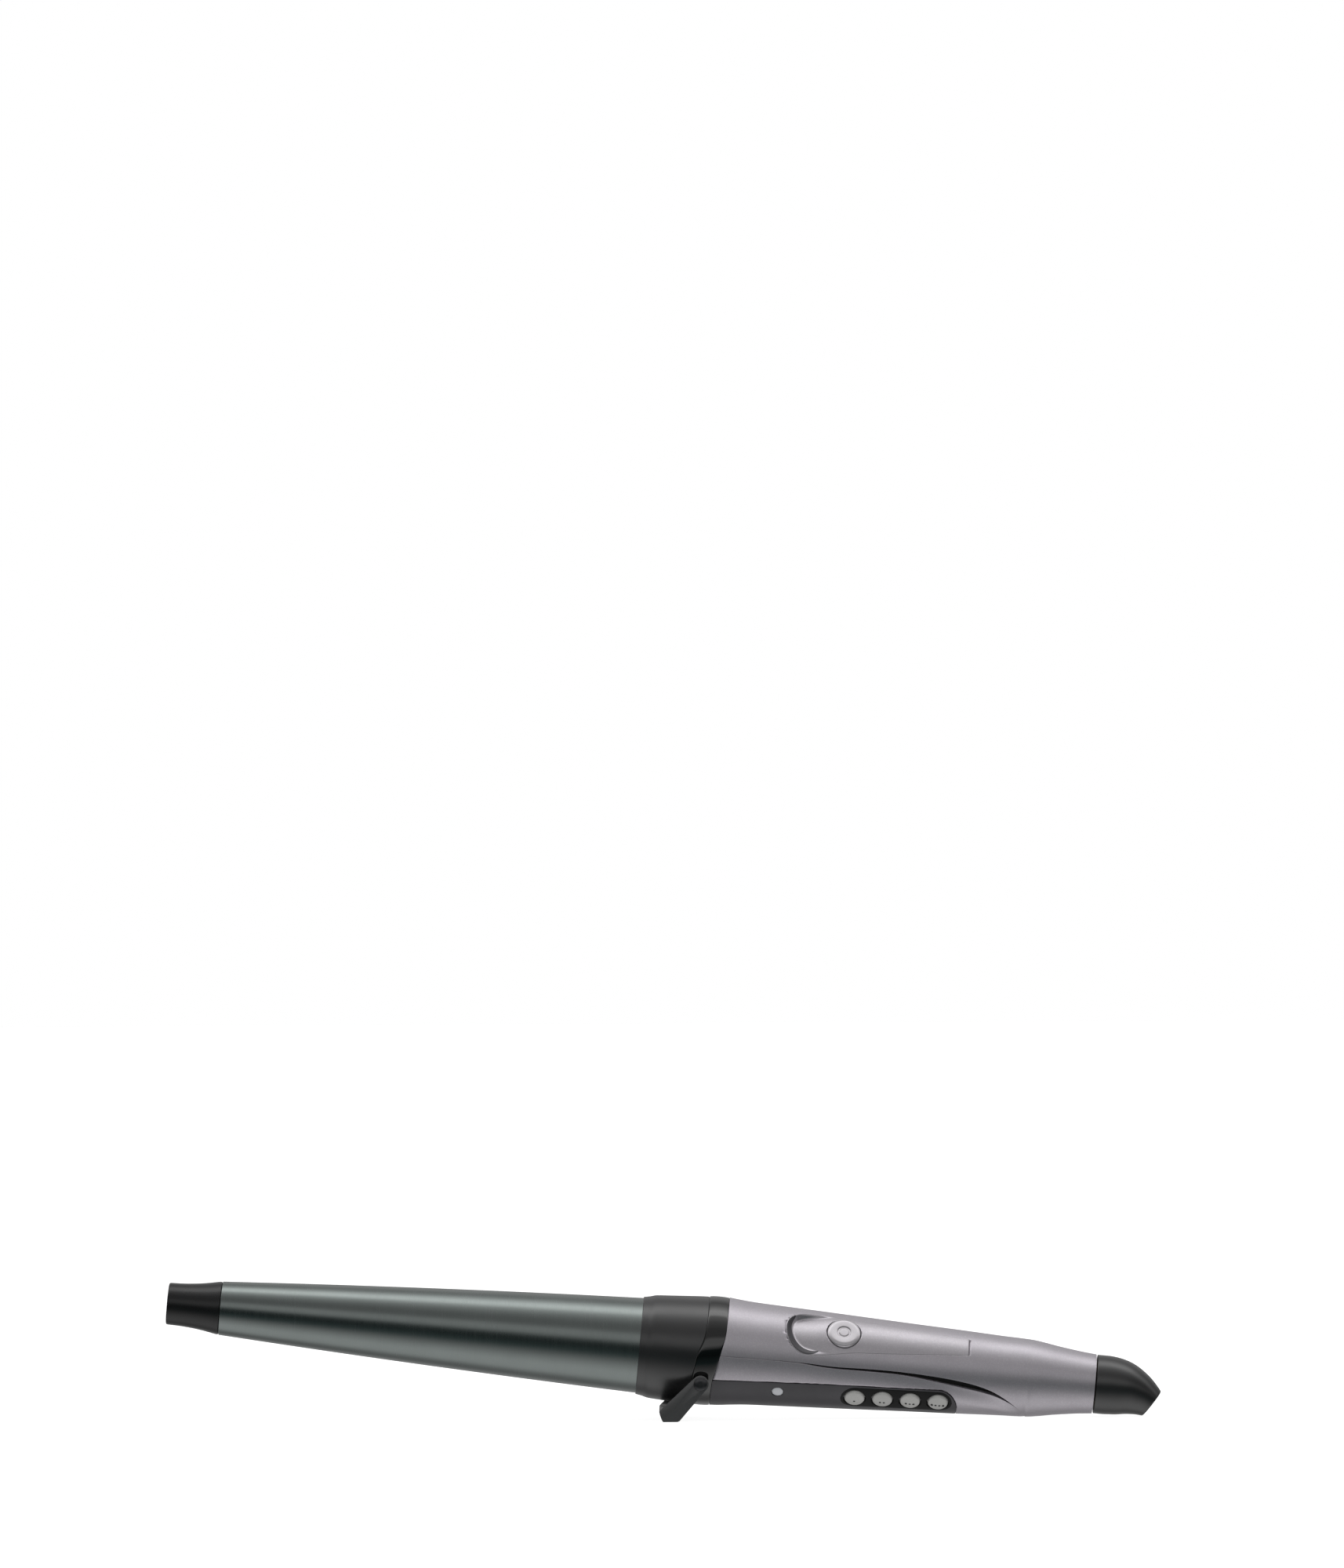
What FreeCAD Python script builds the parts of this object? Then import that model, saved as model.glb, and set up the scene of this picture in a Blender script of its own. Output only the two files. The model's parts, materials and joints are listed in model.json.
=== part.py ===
import FreeCAD, Part
import math
import os
import Sketcher

# Curling wand: a heated conical barrel on a moulded handle, with a fold-out rest under the collar.
# All pieces are drawn along the wand's own axis: x runs from the cool tip (0) to the cord outlet,
# y is across, z is up.  The finished pieces are then tilted onto the table together.

V = FreeCAD.Vector

SIZES = {
    # cool tip
    "tip_end_r": 7.0, "tip_corner": 1.5, "tip_straight_to": 5.0, "tip_rim_r": 8.9, "tip_to": 17.8,
    "tip_wall": 1.8, "tip_flare_r": 60.0, "tip_boss_r": 3.2, "tip_spigot_r": 7.9, "tip_spigot_to": 18.9,
    "tip_skin": 3.0, "tip_screw_hole_from": 9.0, "tip_screw_r": 1.3, "tip_screw_head_r": 2.8,
    "tip_screw_head_to": 22.3,
    # barrel
    "barrel_front_r": 9.0, "barrel_back_r": 16.0, "barrel_crown_r": 4150.0, "barrel_seen_to": 159.2,
    "barrel_to": 170.0, "barrel_wall": 0.65, "barrel_end_wall_from": 19.0, "barrel_end_wall_to": 20.2,
    # heater inside the barrel
    "heater_from": 74.0, "heater_to": 148.0, "heater_front_r": 11.3, "heater_back_r": 14.6,
    "heater_wall": 0.7, "heater_flat": 1.2, "heater_plate": 0.85, "chip_half": 0.88, "chip_len": 20.0,
    "chip_pitch": 23.0, "chip_first": 78.0, "chip_half_width": 6.0, "electrode_t": 0.2,
    "electrode_half_width": 5.0, "electrode_tail": 10.0, "film_gap": 0.05, "film_t": 0.12,
    "lead_r": 0.95, "lead_out": 3.0, "lead_to": 207.0, "fuse_r": 1.7, "fuse_from": 150.5,
    "fuse_to": 160.5, "fuse_z": 5.0, "bead_r": 1.1, "bead_from": 128.0, "bead_to": 132.0,
    "bead_z": 5.2, "bead_wire_r": 0.4, "bead_wire_to": 149.5, "bead_wire_out": 0.6,
    # barrel seat, collar and ring
    "seat_from": 157.0, "seat_spigot_r": 15.3, "seat_flange_from": 170.1, "seat_flange_to": 172.5,
    "seat_flange_r": 15.7, "seat_neck_r": 12.6, "seat_to": 199.0, "seat_bore_r": 9.6,
    "collar_front_r": 16.35, "collar_shoulder_at": 162.6, "collar_shoulder_r": 17.2,
    "collar_back_r": 18.4, "collar_bore_r": 16.05, "collar_land_at": 168.0, "collar_rear_bore_r": 15.8,
    "collar_crown_r": 700.0, "seam_lean": 6.3, "collar_seam_at": 179.1, "ring_seam_at": 186.1,
    "seam_gap": 0.12, "ring_from": 174.0, "ring_to": 194.0, "ring_crown_r": 250.0,
    "ring_r": 18.2, "ring_bore_r": 13.0, "ring_lift": 0.4,
    # fold-out rest
    "pivot_at": 180.3, "pivot_z": -10.1, "pin_r": 1.5, "pin_head_r": 2.3, "pin_head_t": 0.7,
    "pin_clear": 0.05, "pin_root_y": 10.0, "boss_r": 2.1, "arm_in_y": 16.75, "arm_out_y": 18.75,
    "arm_boss_r": 2.75, "arm_side_gap": 0.15, "foot_top_drop": 20.6,
    "foot_front_at": 167.4, "foot_front_z": -20.6, "foot_low_front_at": 169.0, "foot_low_front_z": -23.9045,
    "foot_low_back_at": 173.8, "foot_back_at": 176.9, "foot_back_z": -18.2,
    # handle
    "grip_lift": 0.6, "grip_from": 183.0, "grip_front_r": 18.3, "grip_flare_to": 202.0,
    "grip_flare_end_r": 16.95, "grip_flare_r": 130.0, "grip_heel_from": 289.5,
    "grip_heel_r": 13.05, "grip_heel_to": 297.0, "grip_tail_r": 11.75, "grip_to": 312.0,
    "grip_end_r": 9.95, "heel_crown_r": 26.0, "grip_wall": 3.2,
    "grip_mouth_r": 8.1, "grip_inner_to": 306.0, "split_z": -0.4, "split_flat_to": 263.0,
    "split_sweep_r": 30.0, "skin_t": 1.5, "skin_sink": 0.1,
    # control panel on the lower near side
    "panel_top_front_z": -8.3, "panel_top_back_z": -5.55, "panel_to": 266.4, "panel_corner_r": 6.5,
    "panel_wrap_y": 3.0, "panel_gap": 0.12,
    "key_angle": -47.0, "key_first": 231.9, "key_pitch": 9.3, "key_r": 3.5, "key_hole_r": 3.85,
    "key_proud": 0.35, "key_flange_r": 4.1, "key_flange_t": 0.8, "key_flange_drop": 4.5,
    "key_stem_r": 1.4,
    "lamp_at": 206.2, "lamp_angle": -43.0, "lamp_r": 2.0,
    # inlay and on/off button on the upper near side
    "inlay_angle": 41.0, "inlay_from": 207.5, "inlay_to": 269.0, "inlay_half_width": 7.4,
    "inlay_from_depth": 8.0,
    "button_at": 226.8, "button_r": 5.6, "button_hole_r": 5.95, "button_top": 16.0,
    "button_flange_r": 6.3, "button_flange_top": 10.3, "button_flange_t": 0.8, "button_stem_r": 1.6,
    "button_stem_low": 9.0,
    # boards
    "board_t": 1.2, "key_board_top": 6.9, "key_board_from": 202.0, "key_board_to": 267.0,
    "key_board_half": 4.6, "switch_half": 1.5, "switch_h": 1.0,
    "power_board_top": 7.0, "power_board_from": 218.0, "power_board_to": 236.0, "power_board_half": 4.2,
    "main_board_y": 4.2, "main_board_from": 208.0, "main_board_to": 266.0, "main_board_half": 5.4,
    "triac_from": 212.0, "triac_to": 222.0, "triac_half": 4.2, "triac_h": 3.4,
    "cap_r": 2.6, "cap_from": 246.0, "cap_to": 259.0, "chip_at": 232.0, "chip_side": 5.0, "chip_h": 1.3,
    # screws
    "screw_y": 7.4, "screw_front_at": 204.0, "screw_back_at": 272.0, "screw_r": 1.25,
    "screw_head_r": 2.4, "screw_head_t": 1.6, "screw_boss_r": 2.9, "screw_hole_r": 1.3,
    "screw_counter_r": 2.6, "screw_front_floor": -11.5, "screw_back_floor": -8.0, "screw_len": 12.0,
    # swivel cord outlet
    "outlet_from": 312.4, "outlet_root_r": 9.75, "outlet_barrel_to": 317.5, "outlet_ball_at": 320.0,
    "outlet_ball_r": 9.25, "outlet_bend": 24.5, "outlet_end_reach": 11.0, "outlet_end_r": 5.1,
    "outlet_neck_r": 8.9, "outlet_bore_r": 3.5, "outlet_stub_r": 5.6, "outlet_stub_from": 297.0,
    "outlet_flange_r": 6.9, "outlet_flange_from": 303.4, "outlet_flange_to": 305.2,
    "bush_r": 8.0, "bush_bore_r": 5.65, "bush_from": 305.5, "bush_to": 311.6,
    "slip_ring_r": 6.3, "slip_ring_t": 1.4, "slip_ring_a": 298.2, "slip_ring_b": 300.9,
    "finger_top": 8.2, "finger_low": 6.65, "finger_half": 0.9,
    # how the wand lies on the table
    "tilt": 5.4, "shift_x": -165.1, "lift_z": 39.703,
}

doc = FreeCAD.newDocument("CurlingWand")
sheet = doc.addObject("Spreadsheet::Sheet", "Sizes")
for row, (word, number) in enumerate(SIZES.items(), start=1):
    sheet.set(f"A{row}", word)
    sheet.set(f"B{row}", str(number))
    sheet.setAlias(f"B{row}", word)
doc.recompute()


def word_value(word):
    """The number a single word of a formula stands for."""
    return SIZES[word] if word in SIZES else float(word)


def value(formula):
    """The number a formula such as 'ring_r + seam_gap' stands for; a bare number passes through."""
    if isinstance(formula, (int, float)):
        return float(formula)
    words = formula.split()
    total = word_value(words[0])
    for sign, word in zip(words[1::2], words[2::2]):
        total += word_value(word) if sign == "+" else -word_value(word)
    return total


def linked(formula):
    """The same formula, written for the spreadsheet."""
    if isinstance(formula, (int, float)):
        return str(formula)
    return " ".join(f"Sizes.{word}" if word in SIZES else word for word in formula.split())


def bind(thing, prop, formula):
    thing.setExpression(prop, linked(formula))


def span(thing, prop, low, high):
    thing.setExpression(prop, f"({linked(high)}) - ({linked(low)})")


# ---------------------------------------------------------------- drawing helpers

def arc_middle(start, end, radius):
    """The midpoint of the short arc from start to end; a positive radius bulges to the left."""
    chord = end - start
    half = chord.Length / 2
    rise = abs(radius) - math.sqrt(radius * radius - half * half)
    side = V(-chord.y, chord.x, 0).normalize()
    return (start + end) * 0.5 + side * math.copysign(rise, radius)


def draw(sketch, corners):
    """A closed outline.  Each corner is (x, z) or (x, z, radius of the arc to the next corner)."""
    points = [V(value(c[0]), value(c[1]), 0) for c in corners]
    ends = []
    for index, corner in enumerate(corners):
        start = points[index]
        end = points[(index + 1) % len(points)]
        if len(corner) == 3:
            radius = value(corner[2])
            middle = arc_middle(start, end, radius)
            circle = Part.Arc(start, middle, end).toShape().Curve
            circle = Part.Circle(circle.Center, V(0, 0, 1), circle.Radius)
            first, last = (start, end) if radius < 0 else (end, start)
            sketch.addGeometry(
                Part.ArcOfCircle(circle, circle.parameter(first), circle.parameter(last)))
            ends.append((1, 2) if radius < 0 else (2, 1))
        else:
            sketch.addGeometry(Part.LineSegment(start, end))
            ends.append((1, 2))
    count = len(points)
    for index in range(count):
        after = (index + 1) % count
        sketch.addConstraint(
            Sketcher.Constraint("Coincident", index, ends[index][1], after, ends[after][0]))
    for index, corner in enumerate(corners):
        for kind, formula, number in (("DistanceX", corner[0], points[index].x),
                                      ("DistanceY", corner[1], points[index].y)):
            place = sketch.addConstraint(
                Sketcher.Constraint(kind, -1, 1, index, ends[index][0], number))
            sketch.setExpression(f"Constraints[{place}]", linked(formula))
        if len(corner) == 3:
            place = sketch.addConstraint(Sketcher.Constraint("Radius", index, abs(value(corner[2]))))
            sketch.setExpression(f"Constraints[{place}]", f"abs({linked(corner[2])})")


def origin_part(body, role):
    return [item for item in body.Origin.OriginFeatures if item.Role == role][0]


def turned(name, corners, lift="0"):
    """A body turned about the wand's long axis, lifted by the given amount."""
    body = doc.addObject("PartDesign::Body", name)
    sketch = body.newObject("Sketcher::SketchObject", f"{name}_outline")
    sketch.AttachmentSupport = [(origin_part(body, "XZ_Plane"), "")]
    sketch.MapMode = "FlatFace"
    draw(sketch, corners)
    spin = body.newObject("PartDesign::Revolution", f"{name}_turn")
    spin.Profile = sketch
    spin.ReferenceAxis = (origin_part(body, "X_Axis"), [""])
    spin.Angle = 360
    body.Tip = spin
    bind(body, "Placement.Base.z", lift)
    return body


def slab(name, corners, y_low, y_high):
    """An outline in the side view, carried across the wand from y_low to y_high."""
    sketch = doc.addObject("Sketcher::SketchObject", f"{name}_outline")
    sketch.Placement = FreeCAD.Placement(V(0, 0, 0), FreeCAD.Rotation(V(1, 0, 0), 90))
    draw(sketch, corners)
    solid = doc.addObject("Part::Extrusion", name)
    solid.Base = sketch
    solid.DirMode = "Custom"
    solid.Dir = V(0, 1, 0)
    solid.Solid = True
    bind(solid, "LengthFwd", y_high)
    solid.setExpression("LengthRev", f"-({linked(y_low)})")
    return solid


def block(name, x_low, x_high, y_low, y_high, z_low, z_high, frame=None):
    box = doc.addObject("Part::Box", name)
    span(box, "Length", x_low, x_high)
    span(box, "Width", y_low, y_high)
    span(box, "Height", z_low, z_high)
    corner = FreeCAD.Placement(V(value(x_low), value(y_low), value(z_low)), FreeCAD.Rotation())
    box.Placement = frame.multiply(corner) if frame else corner
    return box


def rod(name, foot, direction, radius, low, high, frame=None):
    """A round bar from low to high along a direction through the point foot."""
    bar = doc.addObject("Part::Cylinder", name)
    bind(bar, "Radius", radius)
    span(bar, "Height", low, high)
    along = V(*direction).normalize()
    turn = FreeCAD.Rotation(V(0, 0, 1), along)
    own = FreeCAD.Placement(V(*foot) + along * value(low), turn)
    bar.Placement = frame.multiply(own) if frame else own
    return bar


def long_rod(name, radius, x_low, x_high, y="0", z="0"):
    return rod(name, (0, value(y), value(z)), (1, 0, 0), radius, x_low, x_high)


def fused(name, pieces):
    joined = doc.addObject("Part::MultiFuse", name)
    joined.Shapes = pieces
    return joined


def cut(name, base, tools):
    result = doc.addObject("Part::Cut", name)
    result.Base = base
    result.Tool = tools[0] if len(tools) == 1 else fused(f"{name}_tools", tools)
    return result


def common(name, pieces):
    result = doc.addObject("Part::MultiCommon", name)
    result.Shapes = pieces
    return result


def grouped(name, pieces):
    result = doc.addObject("Part::Compound", name)
    result.Links = pieces
    return result


def spoke(angle):
    """A frame on the handle's axis whose z points outwards at this angle above the near side."""
    slope = math.radians(value(angle))
    outward = V(0, -math.cos(slope), math.sin(slope))
    across = outward.cross(V(1, 0, 0))
    turn = FreeCAD.Rotation(V(1, 0, 0), across, outward, "ZXY")
    return FreeCAD.Placement(V(0, 0, value("grip_lift")), turn)


finished = {}


def finish(node, thing):
    """Name a finished piece; it is tilted onto the table at the end."""
    if thing.TypeId == "PartDesign::Body":
        thing = grouped(f"{thing.Name}_piece", [thing])
    thing.Label = node
    finished[node] = thing
    return thing


def grip_radius(x):
    """The handle's outer radius along its straight grip."""
    share = (x - value("grip_flare_to")) / value("grip_heel_from - grip_flare_to")
    return value("grip_flare_end_r") + share * value("grip_heel_r - grip_flare_end_r")


# ---------------------------------------------------------------- cool tip and barrel

finish("cool_tip", turned("CoolTip", [
    ("0", "0"),
    ("0", "tip_end_r - tip_corner", "tip_corner"),
    ("tip_corner", "tip_end_r"),
    ("tip_straight_to", "tip_end_r + 0.1", "0 - tip_flare_r"),
    ("tip_to", "tip_rim_r"),
    ("tip_to", "tip_spigot_r"),
    ("tip_spigot_to", "tip_spigot_r"),
    ("tip_spigot_to", "tip_spigot_r - 1.4"),
    ("tip_to", "tip_spigot_r - 1.4"),
    ("tip_skin", "tip_end_r - tip_wall"),
    ("tip_skin", "tip_boss_r"),
    ("tip_spigot_to", "tip_boss_r"),
    ("tip_spigot_to", "tip_screw_r + 0.02"),
    ("tip_screw_hole_from", "tip_screw_r + 0.02"),
    ("tip_screw_hole_from", "0"),
]))

finish("tip_screw", turned("TipScrew", [
    ("tip_screw_hole_from + 0.5", "0"),
    ("tip_screw_hole_from + 1.2", "tip_screw_r"),
    ("barrel_end_wall_to + 0.02", "tip_screw_r"),
    ("barrel_end_wall_to + 0.02", "tip_screw_head_r"),
    ("tip_screw_head_to - 0.5", "tip_screw_head_r"),
    ("tip_screw_head_to", "tip_screw_head_r - 0.8"),
    ("tip_screw_head_to", "0"),
]))

finish("barrel", turned("Barrel", [
    ("tip_to + 0.05", "barrel_front_r - barrel_wall"),
    ("tip_to + 0.05", "barrel_front_r - 0.1"),
    ("tip_to + 0.25", "barrel_front_r", "barrel_crown_r"),
    ("barrel_seen_to", "barrel_back_r"),
    ("barrel_to", "barrel_back_r"),
    ("barrel_to", "barrel_back_r - barrel_wall"),
    ("barrel_seen_to", "barrel_back_r - barrel_wall", "0 - barrel_crown_r"),
    ("barrel_end_wall_to", "barrel_front_r + 0.15 - barrel_wall"),
    ("barrel_end_wall_to", "tip_screw_r + 0.15"),
    ("barrel_end_wall_from", "tip_screw_r + 0.15"),
    ("barrel_end_wall_from", "barrel_front_r - barrel_wall"),
]))

# ---------------------------------------------------------------- heater

heater_cone = turned("HeaterCone", [
    ("heater_from", "heater_front_r - heater_wall"),
    ("heater_from", "heater_front_r"),
    ("heater_to", "heater_back_r"),
    ("heater_to", "heater_back_r - heater_wall"),
])
heater_core = turned("HeaterCore", [
    ("heater_from", "0"),
    ("heater_from", "heater_front_r - 0.6"),
    ("heater_to", "heater_back_r - 0.6"),
    ("heater_to", "0"),
])
for side, word in ((1, "upper"), (-1, "lower")):
    half = "0 - 20" if side < 0 else "heater_flat"
    top = "0 - heater_flat" if side < 0 else "20"
    jaw = common(f"Jaw_{word}", [heater_cone, block(
        f"JawSpace_{word}", "heater_from", "heater_to", "0 - 20", "20", half, top)])
    low = "0 - heater_flat - heater_plate" if side < 0 else "heater_flat"
    high = "0 - heater_flat" if side < 0 else "heater_flat + heater_plate"
    plate = common(f"Plate_{word}", [heater_core, block(
        f"PlateSpace_{word}", "heater_from", "heater_to", "0 - 20", "20", low, high)])
    finish(f"heat_spreader_{word}", fused(f"Spreader_{word}", [jaw, plate]))

finish("heater_chips", grouped("HeaterChips", [
    block(f"Chip_{number}", value("chip_first") + number * value("chip_pitch"),
          value("chip_first") + number * value("chip_pitch") + value("chip_len"),
          "0 - chip_half_width", "chip_half_width", "0 - chip_half", "chip_half")
    for number in range(3)]))

finish("heater_electrodes", grouped("Electrodes", [
    block("Electrode_upper", "chip_first - 2", "heater_to + electrode_tail",
          "0 - electrode_half_width", "electrode_half_width",
          "chip_half + 0.02", "chip_half + electrode_t"),
    block("Electrode_lower", "chip_first - 2", "heater_to + electrode_tail",
          "0 - electrode_half_width", "electrode_half_width",
          "0 - chip_half - electrode_t", "0 - chip_half - 0.02")]))

finish("heater_wrap", turned("HeaterWrap", [
    ("heater_from - 3", "heater_front_r - 0.05"),
    ("heater_from - 3", "heater_front_r - 0.05 + film_t"),
    ("heater_from", "heater_front_r + film_gap + film_t"),
    ("heater_to", "heater_back_r + film_gap + film_t"),
    ("heater_to + 3", "heater_back_r + 0.2 + film_t"),
    ("heater_to + 3", "heater_back_r + 0.2"),
    ("heater_to", "heater_back_r + film_gap"),
    ("heater_from", "heater_front_r + film_gap"),
]))

lead_start = value("heater_to + electrode_tail") + 0.1
finish("heater_leads", grouped("HeaterLeads", [
    long_rod("Lead_far", "lead_r", lead_start, "lead_to", "lead_out", "0"),
    long_rod("Lead_near", "lead_r", lead_start, "lead_to", "0 - lead_out", "0")]))
finish("thermal_fuse", grouped("ThermalFuse", [
    long_rod("FuseBody", "fuse_r", "fuse_from", "fuse_to", "0", "fuse_z")]))
finish("thermistor", grouped("Thermistor", [
    long_rod("Bead", "bead_r", "bead_from", "bead_to", "0", "bead_z"),
    long_rod("BeadWireNear", "bead_wire_r", "bead_to + 0.05", "bead_wire_to", "0 - bead_wire_out",
             "bead_z"),
    long_rod("BeadWireFar", "bead_wire_r", "bead_to + 0.05", "bead_wire_to", "bead_wire_out",
             "bead_z")]))

# ---------------------------------------------------------------- seat, collar and ring

finish("barrel_seat", turned("BarrelSeat", [
    ("seat_from", "seat_bore_r"),
    ("seat_from", "seat_spigot_r - 0.6"),
    ("barrel_seen_to + 2", "seat_spigot_r"),
    ("seat_flange_from", "seat_spigot_r"),
    ("seat_flange_from", "seat_flange_r"),
    ("seat_flange_to", "seat_flange_r"),
    ("seat_flange_to", "seat_neck_r"),
    ("seat_to", "seat_neck_r"),
    ("seat_to", "seat_bore_r"),
]))


def half_space(name, seam, toward_tip):
    """A big block on one side of a seam that leans with the ring."""
    box = doc.addObject("Part::Box", name)
    box.Length = 200
    box.Width = 80
    box.Height = 80
    lean = FreeCAD.Rotation(V(0, 1, 0), value("seam_lean"))
    start = V(-200, -40, -40) if toward_tip else V(0, -40, -40)
    box.Placement = FreeCAD.Placement(V(value(seam), 0, 0), lean).multiply(
        FreeCAD.Placement(start, FreeCAD.Rotation()))
    return box


collar_blank = turned("CollarBlank", [
    ("barrel_seen_to", "collar_bore_r"),
    ("barrel_seen_to", "collar_front_r", "0 + 8"),
    ("collar_shoulder_at", "collar_shoulder_r", "collar_crown_r"),
    ("barrel_to + 14", "collar_back_r"),
    ("barrel_to + 14", "collar_rear_bore_r"),
    ("barrel_to", "collar_rear_bore_r"),
    ("barrel_to", "collar_bore_r"),
])
finish("collar", common("Collar", [collar_blank, half_space("TipSideOfCollarSeam", "collar_seam_at", True)]))

ring_blank = turned("RingBlank", [
    ("ring_from", "ring_bore_r"),
    ("ring_from", "ring_r", "ring_crown_r"),
    ("ring_to", "ring_r - 0.1"),
    ("ring_to", "ring_bore_r"),
], "ring_lift")
ring_bosses = [
    rod(f"RingBoss_{word}", (value("pivot_at"), 0, value("pivot_z")), (0, side, 0), "boss_r",
        "pin_root_y", "arm_in_y - arm_side_gap")
    for side, word in ((1, "far"), (-1, "near"))]
pin_holes = [
    rod(f"PinHole_{word}", (value("pivot_at"), 0, value("pivot_z")), (0, side, 0), "pin_r",
        "pin_root_y - 2", "arm_out_y + 2")
    for side, word in ((1, "far"), (-1, "near"))]
ring_band = common("RingBand", [
    ring_blank,
    half_space("HandleSideOfCollarSeam", "collar_seam_at + seam_gap", False),
    half_space("TipSideOfRingSeam", "ring_seam_at", True)])
boss_limits = turned("BossLimits", [
    ("ring_from", "ring_bore_r"),
    ("ring_from", "25"),
    ("ring_to", "25"),
    ("ring_to", "ring_bore_r"),
], "ring_lift")
boss_stubs = common("BossStubs", [fused("BossPair", ring_bosses), boss_limits])
finish("accent_ring", cut("AccentRing", fused("RingWithBosses", [ring_band, boss_stubs]), pin_holes))

# ---------------------------------------------------------------- fold-out rest

slope = math.tan(math.radians(value("tilt")))
foot_back_low_z = value("foot_low_front_z") + slope * (
    value("foot_low_back_at") - value("foot_low_front_at"))
pivot = (value("pivot_at"), 0, value("pivot_z"))
arm_outline = [
    ("foot_front_at", "foot_front_z"),
    ("pivot_at - 2.3", "pivot_z + 1.4"),
    ("pivot_at + 2.5", "pivot_z - 1.0"),
    ("foot_back_at", "foot_back_z"),
    ("foot_low_back_at", foot_back_low_z),
    ("foot_low_front_at", "foot_low_front_z"),
]
rest_web = slab("RestWeb", arm_outline, "0 - arm_out_y", "arm_out_y")
rest_bosses = [
    rod(f"RestBoss_{word}", pivot, (0, side, 0), "arm_boss_r", "arm_in_y", "arm_out_y")
    for side, word in ((1, "far"), (-1, "near"))]
rest_gap = block("RestGap", "foot_front_at - 20", "foot_back_at + 30", "0 - arm_in_y", "arm_in_y",
                 "0 - foot_top_drop", "40")
bearing_holes = [
    rod(f"BearingHole_{word}", pivot, (0, side, 0), "pin_r + pin_clear", "arm_in_y - 1",
        "arm_out_y + 1")
    for side, word in ((1, "far"), (-1, "near"))]
rest_yoke = cut("RestYoke", rest_web, [rest_gap])
finish("stand", cut("Stand", fused("RestWithBosses", [rest_yoke] + rest_bosses), bearing_holes))

finish("stand_pins", grouped("StandPins", [
    fused(f"StandPin_{word}", [
        rod(f"PinShank_{word}", pivot, (0, side, 0), "pin_r", "pin_root_y", "arm_out_y + 0.3"),
        rod(f"PinHead_{word}", pivot, (0, side, 0), "pin_head_r", "arm_out_y + arm_side_gap",
            "arm_out_y + arm_side_gap + pin_head_t")])
    for side, word in ((1, "far"), (-1, "near"))]))

# ---------------------------------------------------------------- handle shells


def grip_outline(outer, inner):
    """A layer of the grip; outer and inner say how far its faces lie from the handle's surface."""
    return [
        ("grip_from", f"grip_front_r {inner}"),
        ("grip_from", f"grip_front_r {outer}", "0 - grip_flare_r"),
        ("grip_flare_to", f"grip_flare_end_r {outer}"),
        ("grip_heel_from", f"grip_heel_r {outer}"),
        ("grip_heel_from", f"grip_heel_r {inner}"),
        ("grip_flare_to", f"grip_flare_end_r {inner}", "grip_flare_r"),
    ]


grip_blank = turned("GripBlank", [
    ("grip_from", "grip_front_r - grip_wall"),
    ("grip_from", "grip_front_r", "0 - grip_flare_r"),
    ("grip_flare_to", "grip_flare_end_r"),
    ("grip_heel_from", "grip_heel_r", "heel_crown_r"),
    ("grip_heel_to", "grip_tail_r"),
    ("grip_to", "grip_end_r"),
    ("grip_to", "grip_mouth_r"),
    ("grip_inner_to", "grip_mouth_r"),
    ("grip_heel_to", "grip_tail_r - grip_wall"),
    ("grip_heel_from", "grip_heel_r - grip_wall"),
    ("grip_flare_to", "grip_flare_end_r - grip_wall", "grip_flare_r"),
], "grip_lift")
grip = common("Grip", [grip_blank, half_space("HandleSideOfRingSeam", "ring_seam_at + seam_gap", False)])

below_split = slab("BelowSplit", [
    ("grip_from - 10", "split_z"),
    ("split_flat_to", "split_z", "split_sweep_r"),
    ("split_flat_to + split_sweep_r", "split_z - split_sweep_r"),
    ("grip_from - 10", "split_z - split_sweep_r"),
], "0 - 30", "30")

skin_zone = turned("SkinZone", grip_outline("+ 6", "- skin_t"), "grip_lift")
skin_layer = turned("SkinLayer", grip_outline("- skin_sink", "- skin_t + 0.05"), "grip_lift")

panel_side = [
    ("grip_from", "panel_top_front_z - 0.3"),
    ("panel_to - panel_corner_r", "panel_top_back_z", "panel_corner_r"),
    ("panel_to", "panel_top_back_z - panel_corner_r"),
    ("panel_to", "0 - 30"),
    ("grip_from", "0 - 30"),
]
panel_side_inner = [
    ("grip_from", "panel_top_front_z - 0.3 - panel_gap"),
    ("panel_to - panel_corner_r", "panel_top_back_z - panel_gap", "panel_corner_r - panel_gap"),
    ("panel_to - panel_gap", "panel_top_back_z - panel_corner_r"),
    ("panel_to - panel_gap", "0 - 30"),
    ("grip_from", "0 - 30"),
]
panel_pocket = common("PanelPocket", [
    skin_zone, slab("PanelPocketSide", panel_side, "0 - 30", "panel_wrap_y + panel_gap")])
panel_blank = common("PanelBlank", [
    skin_layer, slab("PanelSide", panel_side_inner, "0 - 30", "panel_wrap_y"),
    half_space("PanelStart", "ring_seam_at + seam_gap", False)])

inlay_frame = spoke("inlay_angle")
inlay_pocket = common("InlayPocket", [skin_zone, block(
    "InlayPocketSpace", "inlay_from", "inlay_to", "0 - inlay_half_width", "inlay_half_width",
    "inlay_from_depth", "30", inlay_frame)])
inlay_blank = common("InlayBlank", [skin_layer, block(
    "InlaySpace", "inlay_from + panel_gap", "inlay_to - panel_gap",
    "0 - inlay_half_width + panel_gap", "inlay_half_width - panel_gap",
    "inlay_from_depth", "30", inlay_frame)])

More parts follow.
